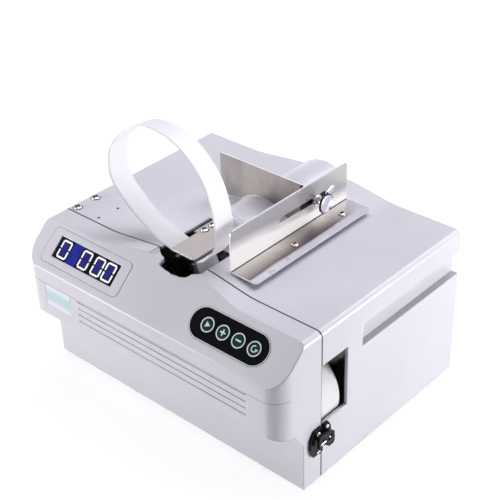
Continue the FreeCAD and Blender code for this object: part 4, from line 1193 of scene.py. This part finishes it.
class STRAPPER_OT_shell(bpy.types.Operator):
    """Finish the moulded case, the front cover, the bare plate and the finger scoop"""

    bl_idname = "strapper.shell"
    bl_label = "Moulded shell"

    def execute(self, context):
        dress(shell_plastic, "housing", "front_cover")
        dress(black_moulding, "scoop_pan")
        dress(cover_label, "front_label")
        return {"FINISHED"}


class STRAPPER_OT_display(bpy.types.Operator):
    """Fit the display's window, lit fields and digits"""

    bl_idname = "strapper.display"
    bl_label = "Display"

    def execute(self, context):
        make_display()
        return {"FINISHED"}


class STRAPPER_OT_keypad(bpy.types.Operator):
    """Print the keypad and its four buttons"""

    bl_idname = "strapper.keypad"
    bl_label = "Keypad"

    def execute(self, context):
        make_keypad()
        return {"FINISHED"}


class STRAPPER_OT_note_table(bpy.types.Operator):
    """Finish the tongue, the note guide, the rear stop and its wing nut"""

    bl_idname = "strapper.note_table"
    bl_label = "Note table"

    def execute(self, context):
        dress(tongue_steel, "tongue_plate")
        dress(zinc_plate, "tongue_bridge")
        dress(guide_steel, "note_guide")
        dress(stop_steel, "rear_stop")
        dress(wing_plate, "wing_nut")
        return {"FINISHED"}


class STRAPPER_OT_band(bpy.types.Operator):
    """Stand the paper band over the tongue"""

    bl_idname = "strapper.band"
    bl_label = "Paper band"

    def execute(self, context):
        make_band()
        return {"FINISHED"}


class STRAPPER_OT_roll(bpy.types.Operator):
    """Finish the tape roll and its hub"""

    bl_idname = "strapper.roll"
    bl_label = "Tape roll"

    def execute(self, context):
        make_roll()
        return {"FINISHED"}


class STRAPPER_OT_head(bpy.types.Operator):
    """Finish the rollers, the press, the cutter and the cam"""

    bl_idname = "strapper.head"
    bl_label = "Strapping head"

    def execute(self, context):
        dress(roller_rubber, "feed_roller", "pinch_roller")
        dress(milled_alloy, "idler_roller", "press_carriage")
        dress(chrome, "feed_shaft", "roller_studs", "guide_rods", "cutter_blade")
        dress(zinc_plate, "pinch_arm", "left_clamp", "right_clamp", "frame_plate",
              "feed_motor", "press_motor")
        # Painted shade: the heater block is given black moulding so that it shows dark inside the
        # finger scoop.
        dress(black_moulding, "lift_cam", "heater_block")
        return {"FINISHED"}


class STRAPPER_OT_screws(bpy.types.Operator):
    """Fit cross-head screws and rivets"""

    bl_idname = "strapper.screws"
    bl_label = "Screws"

    def execute(self, context):
        make_all_screws()
        return {"FINISHED"}


class STRAPPER_OT_latch(bpy.types.Operator):
    """Finish the cover's latch and its bright bar"""

    bl_idname = "strapper.latch"
    bl_label = "Latch"

    def execute(self, context):
        make_latch()
        return {"FINISHED"}


class STRAPPER_OT_electrics(bpy.types.Operator):
    """Finish the boards, the supply, the power inlet and the switch"""

    bl_idname = "strapper.electrics"
    bl_label = "Electrics"

    def execute(self, context):
        dress(circuit_board, "main_board")
        dress(black_moulding, "board_parts", "power_inlet", "switch_bezel")
        dress(milled_alloy, "power_supply")
        dress(black_gloss, "power_rocker")
        return {"FINISHED"}


class STRAPPER_OT_base(bpy.types.Operator):
    """Finish the base plate, the feet and the cover's hinge"""

    bl_idname = "strapper.base"
    bl_label = "Base and hinge"

    def execute(self, context):
        dress(zinc_plate, "base_plate", "hinge_leaf_case", "hinge_leaf_door")
        dress(chrome, "hinge_pin")
        dress(foot_rubber, "feet")
        return {"FINISHED"}


class STRAPPER_OT_studio(bpy.types.Operator):
    """Set up the camera, the lamps, the floor and the surround"""

    bl_idname = "strapper.studio"
    bl_label = "Studio"

    def execute(self, context):
        make_studio()
        return {"FINISHED"}


class STRAPPER_PT_panel(bpy.types.Panel):
    """Every step and setting of the machine"""

    bl_idname = "STRAPPER_PT_panel"
    bl_label = "Banknote strapper"
    bl_space_type = "VIEW_3D"
    bl_region_type = "UI"
    bl_category = "Strapper"

    def draw(self, context):
        column = self.layout.column(align=True)
        for step in STEPS:
            column.operator(step.bl_idname)
        for group in SETTINGS:
            box = self.layout.box()
            settings = getattr(context.scene, group)
            for name in settings.__annotations__:
                box.prop(settings, name)


STEPS = (
    STRAPPER_OT_shell, STRAPPER_OT_display, STRAPPER_OT_keypad, STRAPPER_OT_note_table,
    STRAPPER_OT_band, STRAPPER_OT_roll, STRAPPER_OT_head, STRAPPER_OT_screws,
    STRAPPER_OT_latch, STRAPPER_OT_electrics, STRAPPER_OT_base, STRAPPER_OT_studio,
)
SETTINGS = {
    "strapper_colours": StrapperColours,
    "strapper_sizes": StrapperSizes,
    "strapper_studio": StrapperStudio,
}


def register():
    for name, group in SETTINGS.items():
        bpy.utils.register_class(group)
        setattr(bpy.types.Scene, name, PointerProperty(type=group))
    for item in (*STEPS, STRAPPER_PT_panel):
        bpy.utils.register_class(item)


def unregister():
    for item in reversed((*STEPS, STRAPPER_PT_panel)):
        bpy.utils.unregister_class(item)
    for name, group in SETTINGS.items():
        delattr(bpy.types.Scene, name)
        bpy.utils.unregister_class(group)


def main():
    register()
    for step in STEPS:
        area, name = step.bl_idname.split(".")
        getattr(getattr(bpy.ops, area), name)()


if __name__ == "__main__":
    main()
